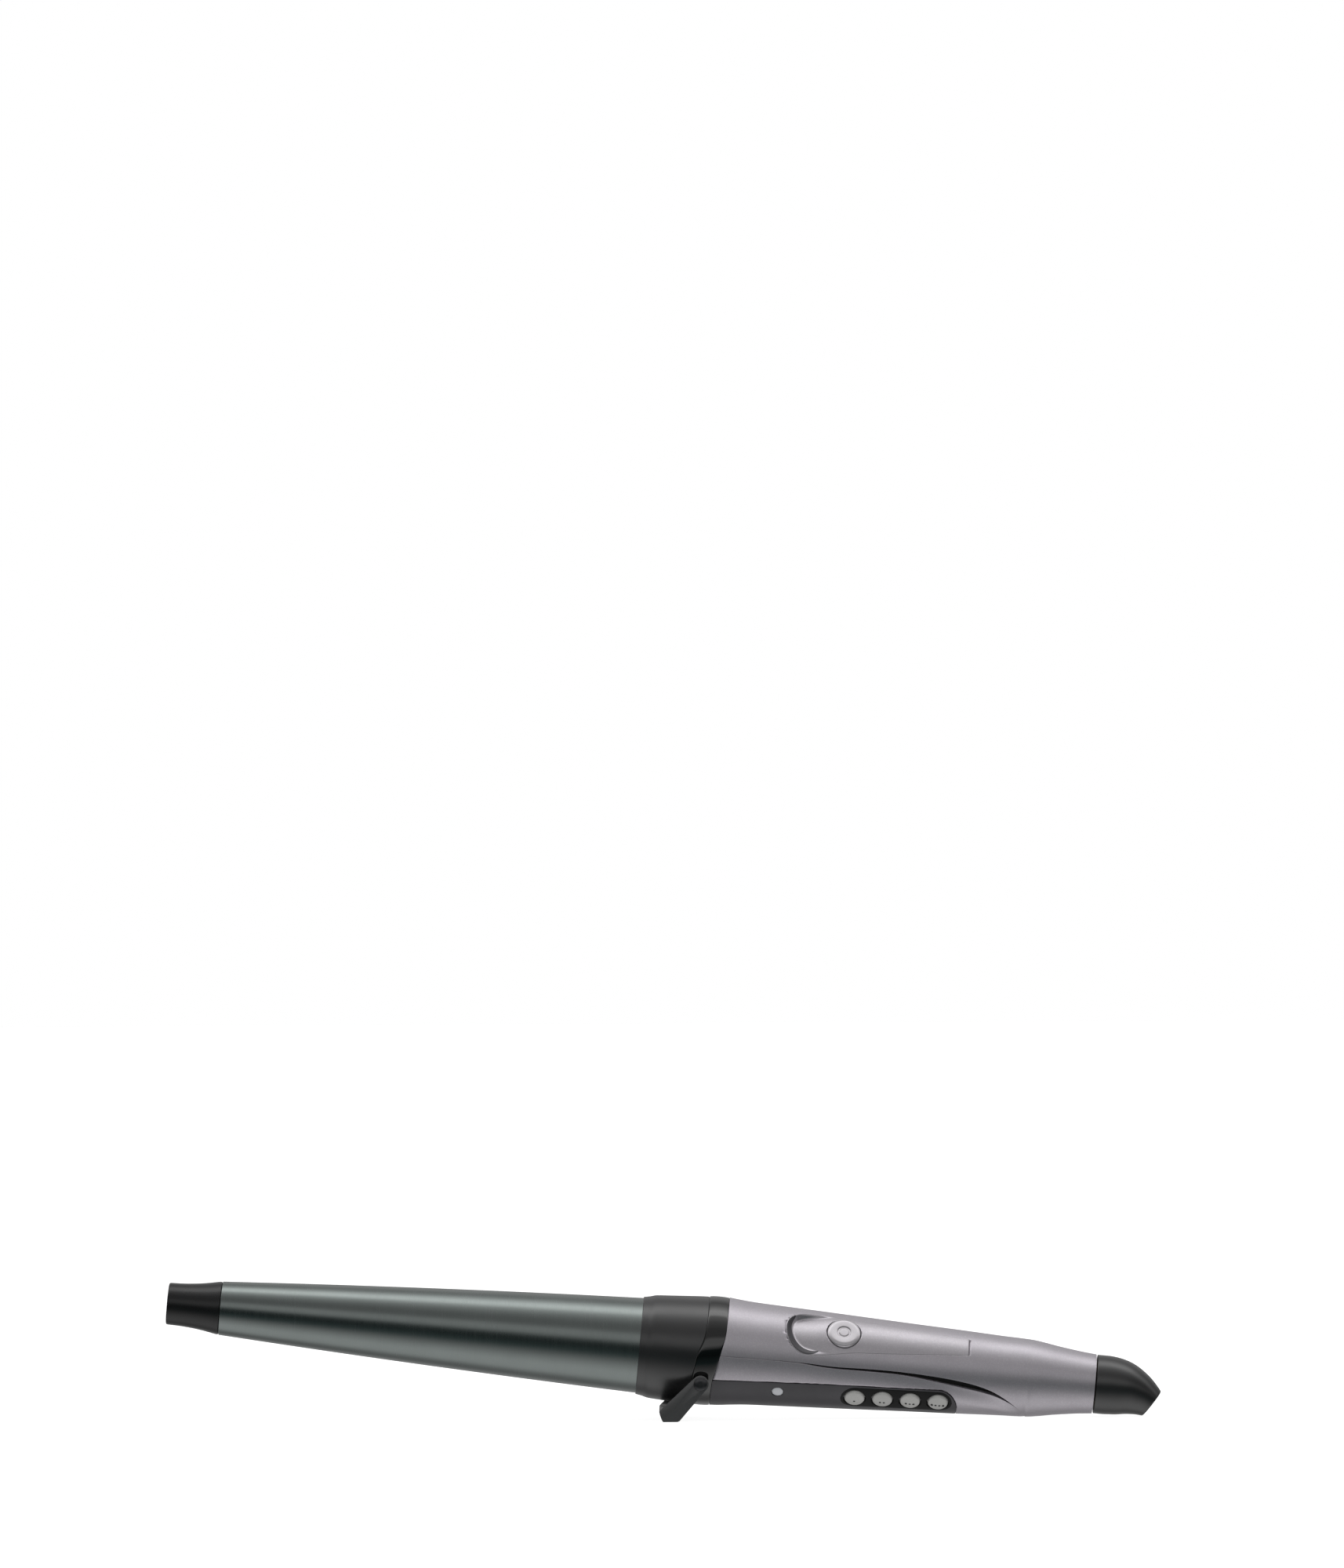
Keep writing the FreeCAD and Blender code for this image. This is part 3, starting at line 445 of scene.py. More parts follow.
def upper_skin(x, angle):
    """The upper shell's surface: the grip, sunk under the button's inlay."""
    radius = grip_radius(x)
    width = radius * math.radians(angle - INLAY_ANGLE)
    inside = inside_inlay(x, width) if 200 < x < 275 and abs(width) < 12 else -1
    return radius - (scoop_depth(x, width) + 0.9) * ease(-0.03, 0.2, inside)


upper_rows = []
upper_marks = spread(SHELL_FROM, UPPER_TO, 0.3, 0.9, [(206.5, 216), (268, 270), (290, 293)])
for x in upper_marks:
    low = crease_angle(x)
    row = []
    for step in range(241):
        guess = mix(low, 180.0 - low, step / 240)
        spot = leaning(x, seam_start(guess), SHELL_FROM, UPPER_TO)
        bottom = crease_angle(spot)
        angle = mix(bottom, 180.0 - bottom, step / 240)
        row.append(on_wand(spot, upper_skin(spot, angle), angle, HANDLE_LIFT))
    upper_rows.append(row)
upper = new_piece("handle_upper_skin", sheet_of("handle_upper_skin", upper_rows), "wand", "shell_silver")
outward_faces(upper, WAND @ Vector((250, 0, 0)))
thicken(upper, 1.1, 0.3)
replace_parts(upper, "handle_upper_shell")


def lower_skin(x, under, angle):
    """The lower shell's surface: grooved and hollowed under the crease and sunk under the control panel."""
    radius = grip_radius(x)
    turn = math.radians(angle)
    y, z = -radius * math.cos(turn), HANDLE_LIFT + radius * math.sin(turn)
    groove = through(GROOVE_WIDTH, x)
    depth = through(CREASE_DEPTH, x) * (1 - ease(groove, groove + 6.5, under))
    depth += through(GROOVE_DEPTH, x) * (1 - ease(groove, groove + 0.15, under))
    return radius - max(depth, 1.1 * ease(-0.1, 0.25, inside_panel(x, y, z)))


def below_crease(x):
    """Distances below the crease, close together round the groove, down to the underside's middle line."""
    groove = through(GROOVE_WIDTH, x)
    middle = grip_radius(x) * math.radians(90 + crease_angle(x))
    near = [-1.2, -0.5, 0.0, groove * 0.5, groove]
    near += [groove + 0.05 * step for step in (1, 2, 3, 5, 8, 12, 18)]
    far = [mix(near[-1], middle, step / 70) for step in range(1, 71)]
    return [min(under, middle) for under in near + far]


lower_rows = []
lower_marks = spread(SHELL_FROM, LOWER_TO, 0.3, 0.8, [(210, 220), (255, LOWER_TO)])
for x in lower_marks:
    row = []
    for side in (1, -1):
        half = []
        for under in below_crease(x):
            guess = crease_angle(x) - math.degrees(under / grip_radius(x))
            spot = leaning(x, seam_start(guess), SHELL_FROM, LOWER_TO)
            angle = max(crease_angle(spot) - math.degrees(under / grip_radius(spot)), -90.0)
            angle = angle if side == 1 else -180.0 - angle
            half.append(on_wand(spot, lower_skin(spot, under, angle), angle, HANDLE_LIFT))
        row += half if side == 1 else half[-2::-1]
    lower_rows.append(row)
lower_data = sheet_of("handle_lower_skin", lower_rows)
tidy_faces(lower_data)
lower = new_piece("handle_lower_skin", lower_data, "wand", "shell_silver")
outward_faces(lower, WAND @ Vector((240, 0, 0)))
thicken(lower, 0.9)
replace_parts(lower, "handle_lower_shell")

# Dark strips laid along the crease groove on both sides: painted shade for the shadow in the groove, not a
# real part of the shells.
for side, word in ((1, "near"), (-1, "far")):
    groove_shade_rows = []
    for x in spread(206.0, 284.0, 0.5, 0.5, []):
        groove = through(GROOVE_WIDTH, x)
        radius = grip_radius(x)
        sunk = radius - through(GROOVE_DEPTH, x) - through(CREASE_DEPTH, x) + 0.12
        row = []
        for under in (-0.6, 0.0, groove * 0.5, groove, groove + 0.1):
            angle = -90 + side * (90 + crease_angle(x) - math.degrees(under / radius))
            row.append(on_wand(x, sunk, angle, HANDLE_LIFT))
        groove_shade_rows.append(row)
    groove_shade_strip = new_piece(f"seam_painted_shade_{word}", sheet_of(f"seam_painted_shade_{word}", groove_shade_rows), "wand", "seat_black")
    outward_faces(groove_shade_strip, WAND @ Vector((250, 0, 0)))
    thicken(groove_shade_strip, 0.3)

# ------------------------------------------------------------------ control panel, keys and lamp

panel_rows = []
PANEL_GAP = 0.12
PANEL_LAST = PANEL_END - PANEL_GAP
PANEL_BEND = PANEL_LAST - PANEL_CORNER
panel_marks = [mix(PANEL_FROM, PANEL_BEND, i / 90) for i in range(90)]
panel_marks += [PANEL_BEND + PANEL_CORNER * math.sin(math.pi / 2 * i / 24) for i in range(25)]
for x in panel_marks:
    top_z = through(PANEL_TOP, x) - PANEL_GAP
    past = x - PANEL_BEND
    if past > 0:
        top_z -= PANEL_CORNER - math.sqrt(max(PANEL_CORNER ** 2 - past ** 2, 0.0))
    radius = grip_radius(x) + 0.02
    top = math.degrees(math.asin((top_z - HANDLE_LIFT) / radius))
    bottom = -90.0 - math.degrees(math.asin((PANEL_WRAP - PANEL_GAP) / radius))
    row = []
    for step in range(61):
        angle = mix(top, bottom, step / 60)
        spot = leaning(x, seam_start(angle) + 0.05, PANEL_FROM, PANEL_LAST)
        row.append(on_wand(spot, grip_radius(spot) + 0.02, angle, HANDLE_LIFT))
    panel_rows.append(row)
panel = new_piece("control_panel_skin", sheet_of("control_panel_skin", panel_rows), "wand", "panel_graphite")
outward_faces(panel, WAND @ Vector((230, 0, 0)))
thicken(panel, 1.0, 0.28)


def peg(name, place, radius, low, high):
    """A plain round cutter along z of a frame."""
    rows = []
    for step in range(64):
        turn = 2 * math.pi * step / 64
        rows.append([place @ Vector((r * math.cos(turn), r * math.sin(turn), z))
                     for r, z in ((0.001, low), (radius, low), (radius, high), (0.001, high))])
    data = sheet_of(name, rows, wrap_along=True)
    tidy_faces(data)
    return placed(name, data)


KEY_ANGLE, LAMP_ANGLE = -47.0, -43.0
BEZEL_HALF = 4.75
DOT_PITCH = 1.25


def key_bezel(first, last):
    """The dark strip round the four keys, with round ends."""
    rows = []
    for step in range(121):
        x = mix(first - BEZEL_HALF, last + BEZEL_HALF, step / 120)
        past = max(first - x, x - last, 0.0)
        half = max(math.sqrt(max(BEZEL_HALF ** 2 - past ** 2, 0.0)), 0.02)
        radius = grip_radius(x) + 0.06
        row = []
        for column in range(31):
            aside = math.degrees(half * mix(-1, 1, column / 30) / radius)
            row.append(on_wand(x, radius, KEY_ANGLE + aside, HANDLE_LIFT))
        rows.append(row)
    piece = new_piece("key_bezel", sheet_of("key_bezel", rows), "wand", "seat_black")
    outward_faces(piece, WAND @ Vector((230, 0, 0)))
    thicken(piece, 0.5)
    return piece


def key_openings():
    return [peg(f"key_opening_{i}", spoke(x, KEY_ANGLE), KEY_HOLE, 8, 22) for i, x in enumerate(key_spots)]


key_spots = [centre_of(f"heat_key_{number}").x for number in (1, 2, 3, 4)]
lamp_spot = centre_of("indicator_lens").x
carve(panel, key_openings() + [peg("lamp_opening", spoke(lamp_spot, LAMP_ANGLE), 2.0, 8, 24)])
bezel = key_bezel(key_spots[0], key_spots[3])
carve(bezel, key_openings())
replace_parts(panel, "control_panel")

for number, x in enumerate(key_spots, start=1):
    top = grip_radius(x)
    place = spoke(x, KEY_ANGLE)
    key = turned(f"pearl_key_{number}", [
        (top + 0.75, 0.0, 0), (top + 0.62, 1.8, 1.5), (top + 0.25, 3.2, 0.5), (top - 0.5, 3.48, 0.4),
        (top - 4.4, 3.48, 0), (top - 4.4, 0.0, 0)], f"key_{number}", "key_pearl", frame_of=place, steps=64)
    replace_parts(key, f"heat_key_{number}")
    turned(f"key_surround_{number}", [
        (top - 0.5, 3.62, 0.05), (top - 0.5, 4.3, 0.1), (top - 1.6, 4.3, 0.1), (top - 1.6, 3.62, 0.1)],
        "wand", "seat_black", frame_of=place, steps=64, hollow=True)
    for dot in range(number):
        dot_place = place @ Matrix.Translation(((dot - (number - 1) / 2) * DOT_PITCH, -0.6, 0))
        turned(f"level_dot_{number}_{dot + 1}", [
            (top + 0.75, 0.0, 0), (top + 0.73, 0.4, 0.1), (top + 0.3, 0.45, 0), (top + 0.3, 0.0, 0)],
            f"key_{number}", "part_black", frame_of=dot_place, steps=20)

lamp_top = grip_radius(lamp_spot)
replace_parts(turned("lamp_lens", [
    (lamp_top + 0.25, 0.0, 0), (lamp_top + 0.18, 1.2, 0.8), (lamp_top - 0.15, 1.92, 0.2),
    (lamp_top - 1.4, 1.92, 0), (lamp_top - 1.4, 0.0, 0)],
    "wand", "lens_clear", frame_of=spoke(lamp_spot, LAMP_ANGLE), steps=48), "indicator_lens")

# ------------------------------------------------------------------ inlay and on/off button



def on_inlay(x, width, above):
    """A point of the scooped inlay at a width from its middle line, a little above its surface."""
    width *= nose_stretch(x) if width < 0 else 1
    radius = grip_radius(x)
    angle = INLAY_ANGLE + math.degrees(width / radius)
    return on_wand(x, radius + above - scoop_depth(x, width), angle, HANDLE_LIFT)


inlay_rows = []
NOSE_CENTRE = INLAY_FROM + NOSE
nose_marks = [NOSE_CENTRE - (NOSE + COVER - 0.01) * math.cos(math.pi / 2 * i / 40) for i in range(40)]
for x in nose_marks + [mix(NOSE_CENTRE, INLAY_TO - 0.2, i / 90) for i in range(91)]:
    half = inlay_half_width(x, COVER)
    inlay_rows.append([on_inlay(x, half * mix(-1, 1, step / 64), 0.02) for step in range(65)])
inlay = new_piece("button_inlay_skin", sheet_of("button_inlay_skin", inlay_rows), "wand", "inlay_silver")
outward_faces(inlay, WAND @ Vector((240, 0, 0)))
thicken(inlay, 0.7)
button_spot = centre_of("power_button").x
carve(inlay, [peg("button_opening", spoke(button_spot, INLAY_ANGLE), BUTTON_HOLE, 9, 24)])
carve(upper, [peg("button_opening", spoke(button_spot, INLAY_ANGLE), BUTTON_HOLE + 0.1, 9, 24)])
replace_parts(inlay, "button_inlay")

# A dark crescent on the wall of the thumb scoop, widest at the nose's lower corner: painted shade for the
# shadow on the scoop's wall.
scoop_shade_rows = []
for step in range(61):
    turn = math.radians(mix(130, 300, step / 60))
    row = []
    for share in (0.02, 0.2, 0.4, 0.6, 0.8, 1.0):
        wide = WALL_EXTRA * max(math.cos(turn - math.radians(WALL_WIDEST_AT)), 0.0) ** 0.8
        reach = NOSE - 0.05 - share * (wide + 0.02)
        row.append(on_inlay(NOSE_CENTRE + reach * math.cos(turn), reach * math.sin(turn), 0.05))
    scoop_shade_rows.append(row)
scoop_painted_shade = new_piece("scoop_painted_shade", sheet_of("scoop_painted_shade", scoop_shade_rows), "wand", "panel_graphite")
outward_faces(scoop_painted_shade, WAND @ Vector((214, 0, 0)))

button_top = 16.15
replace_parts(turned("on_off_button", [
    (button_top - 0.1, 0.0, 0), (button_top - 0.1, 1.5, 0.1), (button_top - 0.3, 1.75, 0.15),
    (button_top - 0.3, 2.15, 0.15), (button_top, 2.4, 0.3), (button_top, 4.7, 0.5),
    (button_top - 0.45, 5.6, 0.5), (button_top - 1.2, 5.7, 0.2), (button_top - 4.9, 5.7, 0),
    (button_top - 4.9, 6.2, 0.1), (button_top - 5.6, 6.2, 0.1), (button_top - 5.6, 0.0, 0)], "on_off",
    "button_silver",
    frame_of=spoke(button_spot, INLAY_ANGLE), steps=96), "power_button")

# ------------------------------------------------------------------ fold-out rest

PIVOT = TO_WAND @ Vector(JOINTS["rest_fold"]["pos_m"])
ARM_IN, ARM_OUT = 16.75, 18.75


def plate(name, outline, y_low, y_high):
    """A side-view outline of (x, z) points carried across the wand."""
    mesh = bmesh.new()
    sides = [[mesh.verts.new((p[0], y, p[1])) for p in outline] for y in (y_low, y_high)]
    mesh.faces.new(sides[0])
    mesh.faces.new(list(reversed(sides[1])))
    count = len(outline)
    for i in range(count):
        mesh.faces.new((sides[0][i], sides[1][i], sides[1][(i + 1) % count], sides[0][(i + 1) % count]))
    bmesh.ops.recalc_face_normals(mesh, faces=mesh.faces)
    data = bpy.data.meshes.new(name)
    mesh.to_mesh(data)
    mesh.free()
    return placed(name, data)


def pin_frame(side):
    """A frame at the rest's pivot whose z runs out along the pin; side 1 is the far side."""
    return Matrix.Translation((PIVOT.x, 0, PIVOT.z)) @ Matrix.Rotation(math.radians(-90 * side), 4, "X")


EYE_RADIUS = 2.75
eye = []
for step in range(13):
    turn = math.radians(mix(-32, 142, step / 12))
    eye.append((PIVOT.x + EYE_RADIUS * math.cos(turn), PIVOT.z + EYE_RADIUS * math.sin(turn)))
foot_low_front = (169.0, -23.9)
foot_low_back = (173.8, -23.9 + 4.8 * math.tan(math.radians(5.4)))
rest_outline = eye + [(167.9, -19.9), (167.4, -20.7), (167.7, -21.6), (168.6, -23.4), foot_low_front,
                      foot_low_back, (174.5, -23.0)]
rest = plate("rest_yoke", rest_outline, -ARM_OUT, ARM_OUT)
collar_room = plate("collar_room", [(140, -20.6), (140, 10), (220, 10), (220, -20.6)], -ARM_IN, ARM_IN)
rounding = collar_room.modifiers.new("round", "BEVEL")
rounding.width = 2.5 * MM
rounding.segments = 6
settle(collar_room)
carve(rest, [collar_room])
carve(rest, [peg(f"pin_bore_{side}", pin_frame(side), 1.55, 15, 20) for side in (1, -1)])
edge = rest.modifiers.new("edges", "BEVEL")
edge.width = 0.45 * MM
edge.segments = 3
edge.limit_method = "ANGLE"
edge.angle_limit = math.radians(40)
settle(rest)
smooth(rest)
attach(rest, "rest")
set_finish(rest, "stand_black")
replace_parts(rest, "stand")

for side, word in ((1, "far"), (-1, "near")):
    pin = turned(f"rest_pin_{word}", [
        (10.0, 0.0, 0), (10.0, 1.5, 0), (ARM_OUT + 0.15, 1.5, 0), (ARM_OUT + 0.15, 2.3, 0.1),
        (ARM_OUT + 0.5, 2.2, 0.3), (ARM_OUT + 0.85, 1.2, 0.5), (ARM_OUT + 0.85, 0.0, 0)],
        "wand", "steel", frame_of=pin_frame(side), steps=48)
    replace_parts(pin, "stand_pins")
    turned(f"ring_boss_{word}", [
        (14.2, 1.6, 0), (14.2, 2.1, 0), (ARM_IN - 0.15, 2.1, 0.2), (ARM_IN - 0.15, 1.6, 0)],
        "wand", "ring_black", frame_of=pin_frame(side), steps=48, hollow=True)
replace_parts(ring, "accent_ring")

# ------------------------------------------------------------------ cord outlet

OUTLET_START = 312.35
BEND_FROM, BEND = 316.0, math.radians(33)
BEND_RADIUS = 15.9 / math.sin(BEND)
outlet_radius = [(0, 9.85), (0.25, 9.8), (0.5, 9.1), (0.75, 7.4), (0.93, 5.9), (1, 5.3)]
line, ways = [], []
for step in range(61):
    t = step / 60
    turn = BEND * max(0.0, t - 0.2) / 0.8
    start = mix(OUTLET_START, BEND_FROM, min(1.0, t / 0.2))
    line.append(Vector((start + BEND_RADIUS * math.sin(turn) * 0.97, 0,
                        HANDLE_LIFT - BEND_RADIUS * (1 - math.cos(turn)))))
    ways.append(Vector((math.cos(turn), 0, -math.sin(turn))))


def hoop(centre, way, radius):
    up = way.cross(Vector((0, 1, 0)))
    return [centre + radius * (math.cos(turn) * Vector((0, -1, 0)) + math.sin(turn) * up)
            for turn in (2 * math.pi * step / 96 for step in range(96))]


# From the hidden spigot over the shoulder to the free end, and over its rim into the cord's opening.
spigot = [(-15.0, 3.2), (-15.0, 5.6), (0.05, 5.6), (0.0, 9.55)]
rim = [(0.25, 5.15), (0.4, 4.8), (0.4, 4.0), (0.2, 3.65), (-0.5, 3.5), (-8.0, 3.5), (-12.0, 0.05)]
outlet_rows = [hoop(line[0] + ways[0] * ahead, ways[0], radius) for ahead, radius in spigot]
for step, (centre, way) in enumerate(zip(line, ways)):
    outlet_rows.append(hoop(centre, way, through(outlet_radius, step / 60)))
outlet_rows += [hoop(line[-1] + ways[-1] * ahead, ways[-1], radius) for ahead, radius in rim]
outlet_data = sheet_of("cord_outlet", outlet_rows, wrap_across=True)
tidy_faces(outlet_data)
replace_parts(new_piece("cord_outlet", outlet_data, "outlet", "outlet_black"), "swivel_outlet")

# ------------------------------------------------------------------ materials


def shared_group(name, inputs, outputs):
    """A shader node group with named inputs and outputs, and its two end nodes."""
    group = bpy.data.node_groups.new(name, "ShaderNodeTree")
    for word, kind, default in inputs:
        socket = group.interface.new_socket(word, in_out="INPUT", socket_type=kind)
        socket.default_value = default
    for word, kind in outputs:
        group.interface.new_socket(word, in_out="OUTPUT", socket_type=kind)
    return group, group.nodes.new("NodeGroupInput"), group.nodes.new("NodeGroupOutput")


def noise(tree, vector, scale, detail, roughness=0.5):
    node = tree.nodes.new("ShaderNodeTexNoise")
    node.inputs["Detail"].default_value = detail
    node.inputs["Roughness"].default_value = roughness
    tree.links.new(vector, node.inputs["Vector"])
    if isinstance(scale, (int, float)):
        node.inputs["Scale"].default_value = scale
    else:
        tree.links.new(scale, node.inputs["Scale"])
    return node.outputs["Fac"]


def remap(tree, source, low, high, to_low, to_high):
    node = tree.nodes.new("ShaderNodeMapRange")
    node.clamp = True
    tree.links.new(source, node.inputs["Value"])
    for word, given in (("From Min", low), ("From Max", high), ("To Min", to_low), ("To Max", to_high)):
        if isinstance(given, (int, float)):
            node.inputs[word].default_value = given
        else:
            tree.links.new(given, node.inputs[word])
    return node.outputs["Result"]


def blend_colours(tree, share, first, second):
    node = tree.nodes.new("ShaderNodeMix")
    node.data_type = "RGBA"
    for socket, given in ((node.inputs["Factor"], share), (node.inputs[6], first), (node.inputs[7], second)):
        if isinstance(given, bpy.types.NodeSocket):
            tree.links.new(given, socket)
        else:
            socket.default_value = given
    return node.outputs[2]


def make_wear_group():
    """Moulding grain, handling smudges and a little unevenness of colour, shared by every finish."""
    group, given, result = shared_group("surface_wear", [
        ("Vector", "NodeSocketVector", (0, 0, 0)), ("Colour", "NodeSocketColor", (0.5, 0.5, 0.5, 1)),
        ("Worn Colour", "NodeSocketColor", (0.4, 0.4, 0.4, 1)), ("Grain Scale", "NodeSocketFloat", 2500.0),
        ("Smudge Scale", "NodeSocketFloat", 90.0), ("Smooth Roughness", "NodeSocketFloat", 0.3),
        ("Smudged Roughness", "NodeSocketFloat", 0.4)],
        [("Colour", "NodeSocketColor"), ("Roughness", "NodeSocketFloat"), ("Height", "NodeSocketFloat")])
    smudge = noise(group, given.outputs["Vector"], given.outputs["Smudge Scale"], 4.0, 0.55)
    grain = noise(group, given.outputs["Vector"], given.outputs["Grain Scale"], 2.0)
    patch = remap(group, smudge, 0.38, 0.68, 0.0, 1.0)
    colour = blend_colours(group, patch, given.outputs["Colour"], given.outputs["Worn Colour"])
    rough = remap(group, patch, 0.0, 1.0, given.outputs["Smooth Roughness"],
                  given.outputs["Smudged Roughness"])
    group.links.new(colour, result.inputs["Colour"])
    group.links.new(rough, result.inputs["Roughness"])
    group.links.new(grain, result.inputs["Height"])
    return group


def make_flake_group():
    """Tiny flakes of a metallic lacquer, each a little lighter or darker."""
    group, given, result = shared_group("lacquer_flakes", [
        ("Vector", "NodeSocketVector", (0, 0, 0)), ("Colour", "NodeSocketColor", (0.5, 0.5, 0.5, 1)),
        ("Flake Colour", "NodeSocketColor", (0.8, 0.8, 0.8, 1)), ("Flake Scale", "NodeSocketFloat", 3500.0)],
        [("Colour", "NodeSocketColor"), ("Height", "NodeSocketFloat")])
    cells = group.nodes.new("ShaderNodeTexVoronoi")
    group.links.new(given.outputs["Vector"], cells.inputs["Vector"])
    group.links.new(given.outputs["Flake Scale"], cells.inputs["Scale"])
    tone = group.nodes.new("ShaderNodeSeparateColor")
    group.links.new(cells.outputs["Color"], tone.inputs["Color"])
    bright = remap(group, tone.outputs[0], 0.55, 1.0, 0.0, 0.5)
    colour = blend_colours(group, bright, given.outputs["Colour"], given.outputs["Flake Colour"])
    group.links.new(colour, result.inputs["Colour"])
    group.links.new(tone.outputs[1], result.inputs["Height"])
    return group


def make_brushing_group():
    """Fine lines left by polishing, running round the wand."""
    group, given, result = shared_group("polishing_lines", [
        ("Vector", "NodeSocketVector", (0, 0, 0)), ("Line Scale", "NodeSocketFloat", 1500.0),
        ("Fine Roughness", "NodeSocketFloat", 0.2), ("Coarse Roughness", "NodeSocketFloat", 0.3)],
        [("Height", "NodeSocketFloat"), ("Roughness", "NodeSocketFloat")])
    squeeze = group.nodes.new("ShaderNodeVectorMath")
    squeeze.operation = "MULTIPLY"
    squeeze.inputs[1].default_value = (1.0, 0.02, 0.02)
    group.links.new(given.outputs["Vector"], squeeze.inputs[0])
    lines = noise(group, squeeze.outputs["Vector"], given.outputs["Line Scale"], 3.0, 0.6)
    rough = remap(group, lines, 0.3, 0.7, given.outputs["Fine Roughness"], given.outputs["Coarse Roughness"])
    group.links.new(lines, result.inputs["Height"])
    group.links.new(rough, result.inputs["Roughness"])
    return group


WEAR = make_wear_group()
FLAKES = make_flake_group()
BRUSHING = make_brushing_group()


def use_group(tree, group, vector, **given):
    node = tree.nodes.new("ShaderNodeGroup")
    node.node_tree = group
    tree.links.new(vector, node.inputs["Vector"])
    for word, number in given.items():
        node.inputs[word.replace("_", " ")].default_value = number
    return node


def shade(colour, factor):
    return tuple(min(1.0, part * factor) for part in colour[:3]) + (1.0,)


def finish_of(name, colour, rough, worn=0.85, spread_of=0.1, grain=2500.0, bump=0.01, flakes=None, lines=None,
              **shader):
    """A material: a base finish with shared wear, and lacquer flakes or polishing lines where it has them."""
    material = bpy.data.materials.new(name)
    material.use_nodes = True
    tree = material.node_tree
    main = tree.nodes["Principled BSDF"]
    place = tree.nodes.new("ShaderNodeTexCoord").outputs["Object"]
    wear = use_group(tree, WEAR, place, Colour=colour + (1.0,), Worn_Colour=shade(colour, worn),
                     Grain_Scale=grain, Smooth_Roughness=rough, Smudged_Roughness=rough + spread_of)
    tint, height, roughness = wear.outputs["Colour"], wear.outputs["Height"], wear.outputs["Roughness"]
    if flakes:
        flake = use_group(tree, FLAKES, place, Flake_Colour=flakes + (1.0,))
        tree.links.new(tint, flake.inputs["Colour"])
        tint, height = flake.outputs["Colour"], flake.outputs["Height"]
    if lines:
        polish = use_group(tree, BRUSHING, place, Line_Scale=lines, Fine_Roughness=rough,
                           Coarse_Roughness=rough + spread_of)
        height, roughness = polish.outputs["Height"], polish.outputs["Roughness"]
    tree.links.new(tint, main.inputs["Base Color"])
    tree.links.new(roughness, main.inputs["Roughness"])
    raise_up = tree.nodes.new("ShaderNodeBump")
    raise_up.inputs["Strength"].default_value = 0.4
    raise_up.inputs["Distance"].default_value = bump * MM
    tree.links.new(height, raise_up.inputs["Height"])
    tree.links.new(raise_up.outputs["Normal"], main.inputs["Normal"])
    for word, number in shader.items():
        main.inputs[word.replace("_", " ")].default_value = number
    return material


FINISHES = {
    "tip_black": dict(colour=(0.006, 0.006, 0.0065), rough=0.26, spread_of=0.05, bump=0.008),
    "barrel_grey": dict(colour=(0.225, 0.25, 0.243), rough=0.235, spread_of=0.04, worn=0.96, lines=1800.0,
                        bump=0.0005, Metallic=1.0),
    "steel": dict(colour=(0.1, 0.1, 0.105), rough=0.3, Metallic=1.0, lines=2500.0, bump=0.004),
    "heater_aluminium": dict(colour=(0.75, 0.75, 0.76), rough=0.35, Metallic=1.0, lines=900.0),
    "heater_ceramic": dict(colour=(0.55, 0.53, 0.5), rough=0.6, grain=3500.0, bump=0.03),
    "contact_brass": dict(colour=(0.78, 0.6, 0.3), rough=0.28, Metallic=1.0, lines=2500.0),
    "film_amber": dict(colour=(0.5, 0.22, 0.04), rough=0.2, Coat_Weight=0.5),
    "wire_white": dict(colour=(0.75, 0.74, 0.7), rough=0.6, grain=4000.0, bump=0.06),
    "seat_black": dict(colour=(0.012, 0.012, 0.012), rough=0.6, bump=0.02, Specular_IOR_Level=0.2),
    "collar_charcoal": dict(colour=(0.012, 0.012, 0.0125), rough=0.28, spread_of=0.05, grain=3800.0,
                            bump=0.012, Specular_IOR_Level=1.0),
    "ring_black": dict(colour=(0.002, 0.002, 0.002), rough=0.06, spread_of=0.03, bump=0.0006, IOR=1.8),
    "stand_black": dict(colour=(0.065, 0.065, 0.066), rough=0.33, spread_of=0.05, bump=0.006,
                        Specular_IOR_Level=1.0),
    "shell_silver": dict(colour=(0.5, 0.473, 0.511), rough=0.4, spread_of=0.04, worn=0.97, Metallic=0.8,
                         flakes=(0.6, 0.58, 0.61), bump=0.0015),
    "inlay_silver": dict(colour=(0.5, 0.476, 0.508), rough=0.38, spread_of=0.04, worn=0.97, Metallic=0.85,
                         flakes=(0.62, 0.6, 0.63), bump=0.0015),
    "button_silver": dict(colour=(0.55, 0.53, 0.555), rough=0.3, spread_of=0.05, worn=0.97, Metallic=0.75,
                          flakes=(0.6, 0.58, 0.6), bump=0.0015),
    "panel_graphite": dict(colour=(0.05, 0.047, 0.054), rough=0.33, spread_of=0.08, bump=0.006),
    "key_pearl": dict(colour=(0.6, 0.59, 0.57), rough=0.25, worn=0.93, Coat_Weight=0.4),
    "lens_clear": dict(colour=(0.75, 0.76, 0.8), rough=0.1, worn=0.95, Coat_Weight=0.6),
    "led_red": dict(colour=(0.55, 0.05, 0.04), rough=0.15, Coat_Weight=0.5),
    "board_green": dict(colour=(0.03, 0.2, 0.09), rough=0.35, grain=900.0, bump=0.02),
    "part_black": dict(colour=(0.03, 0.03, 0.03), rough=0.45, bump=0.03),
    "outlet_black": dict(colour=(0.012, 0.012, 0.0125), rough=0.28, spread_of=0.05, grain=3200.0, bump=0.012,
                         Specular_IOR_Level=1.0),
}
materials = {name: finish_of(name, **settings) for name, settings in FINISHES.items()}
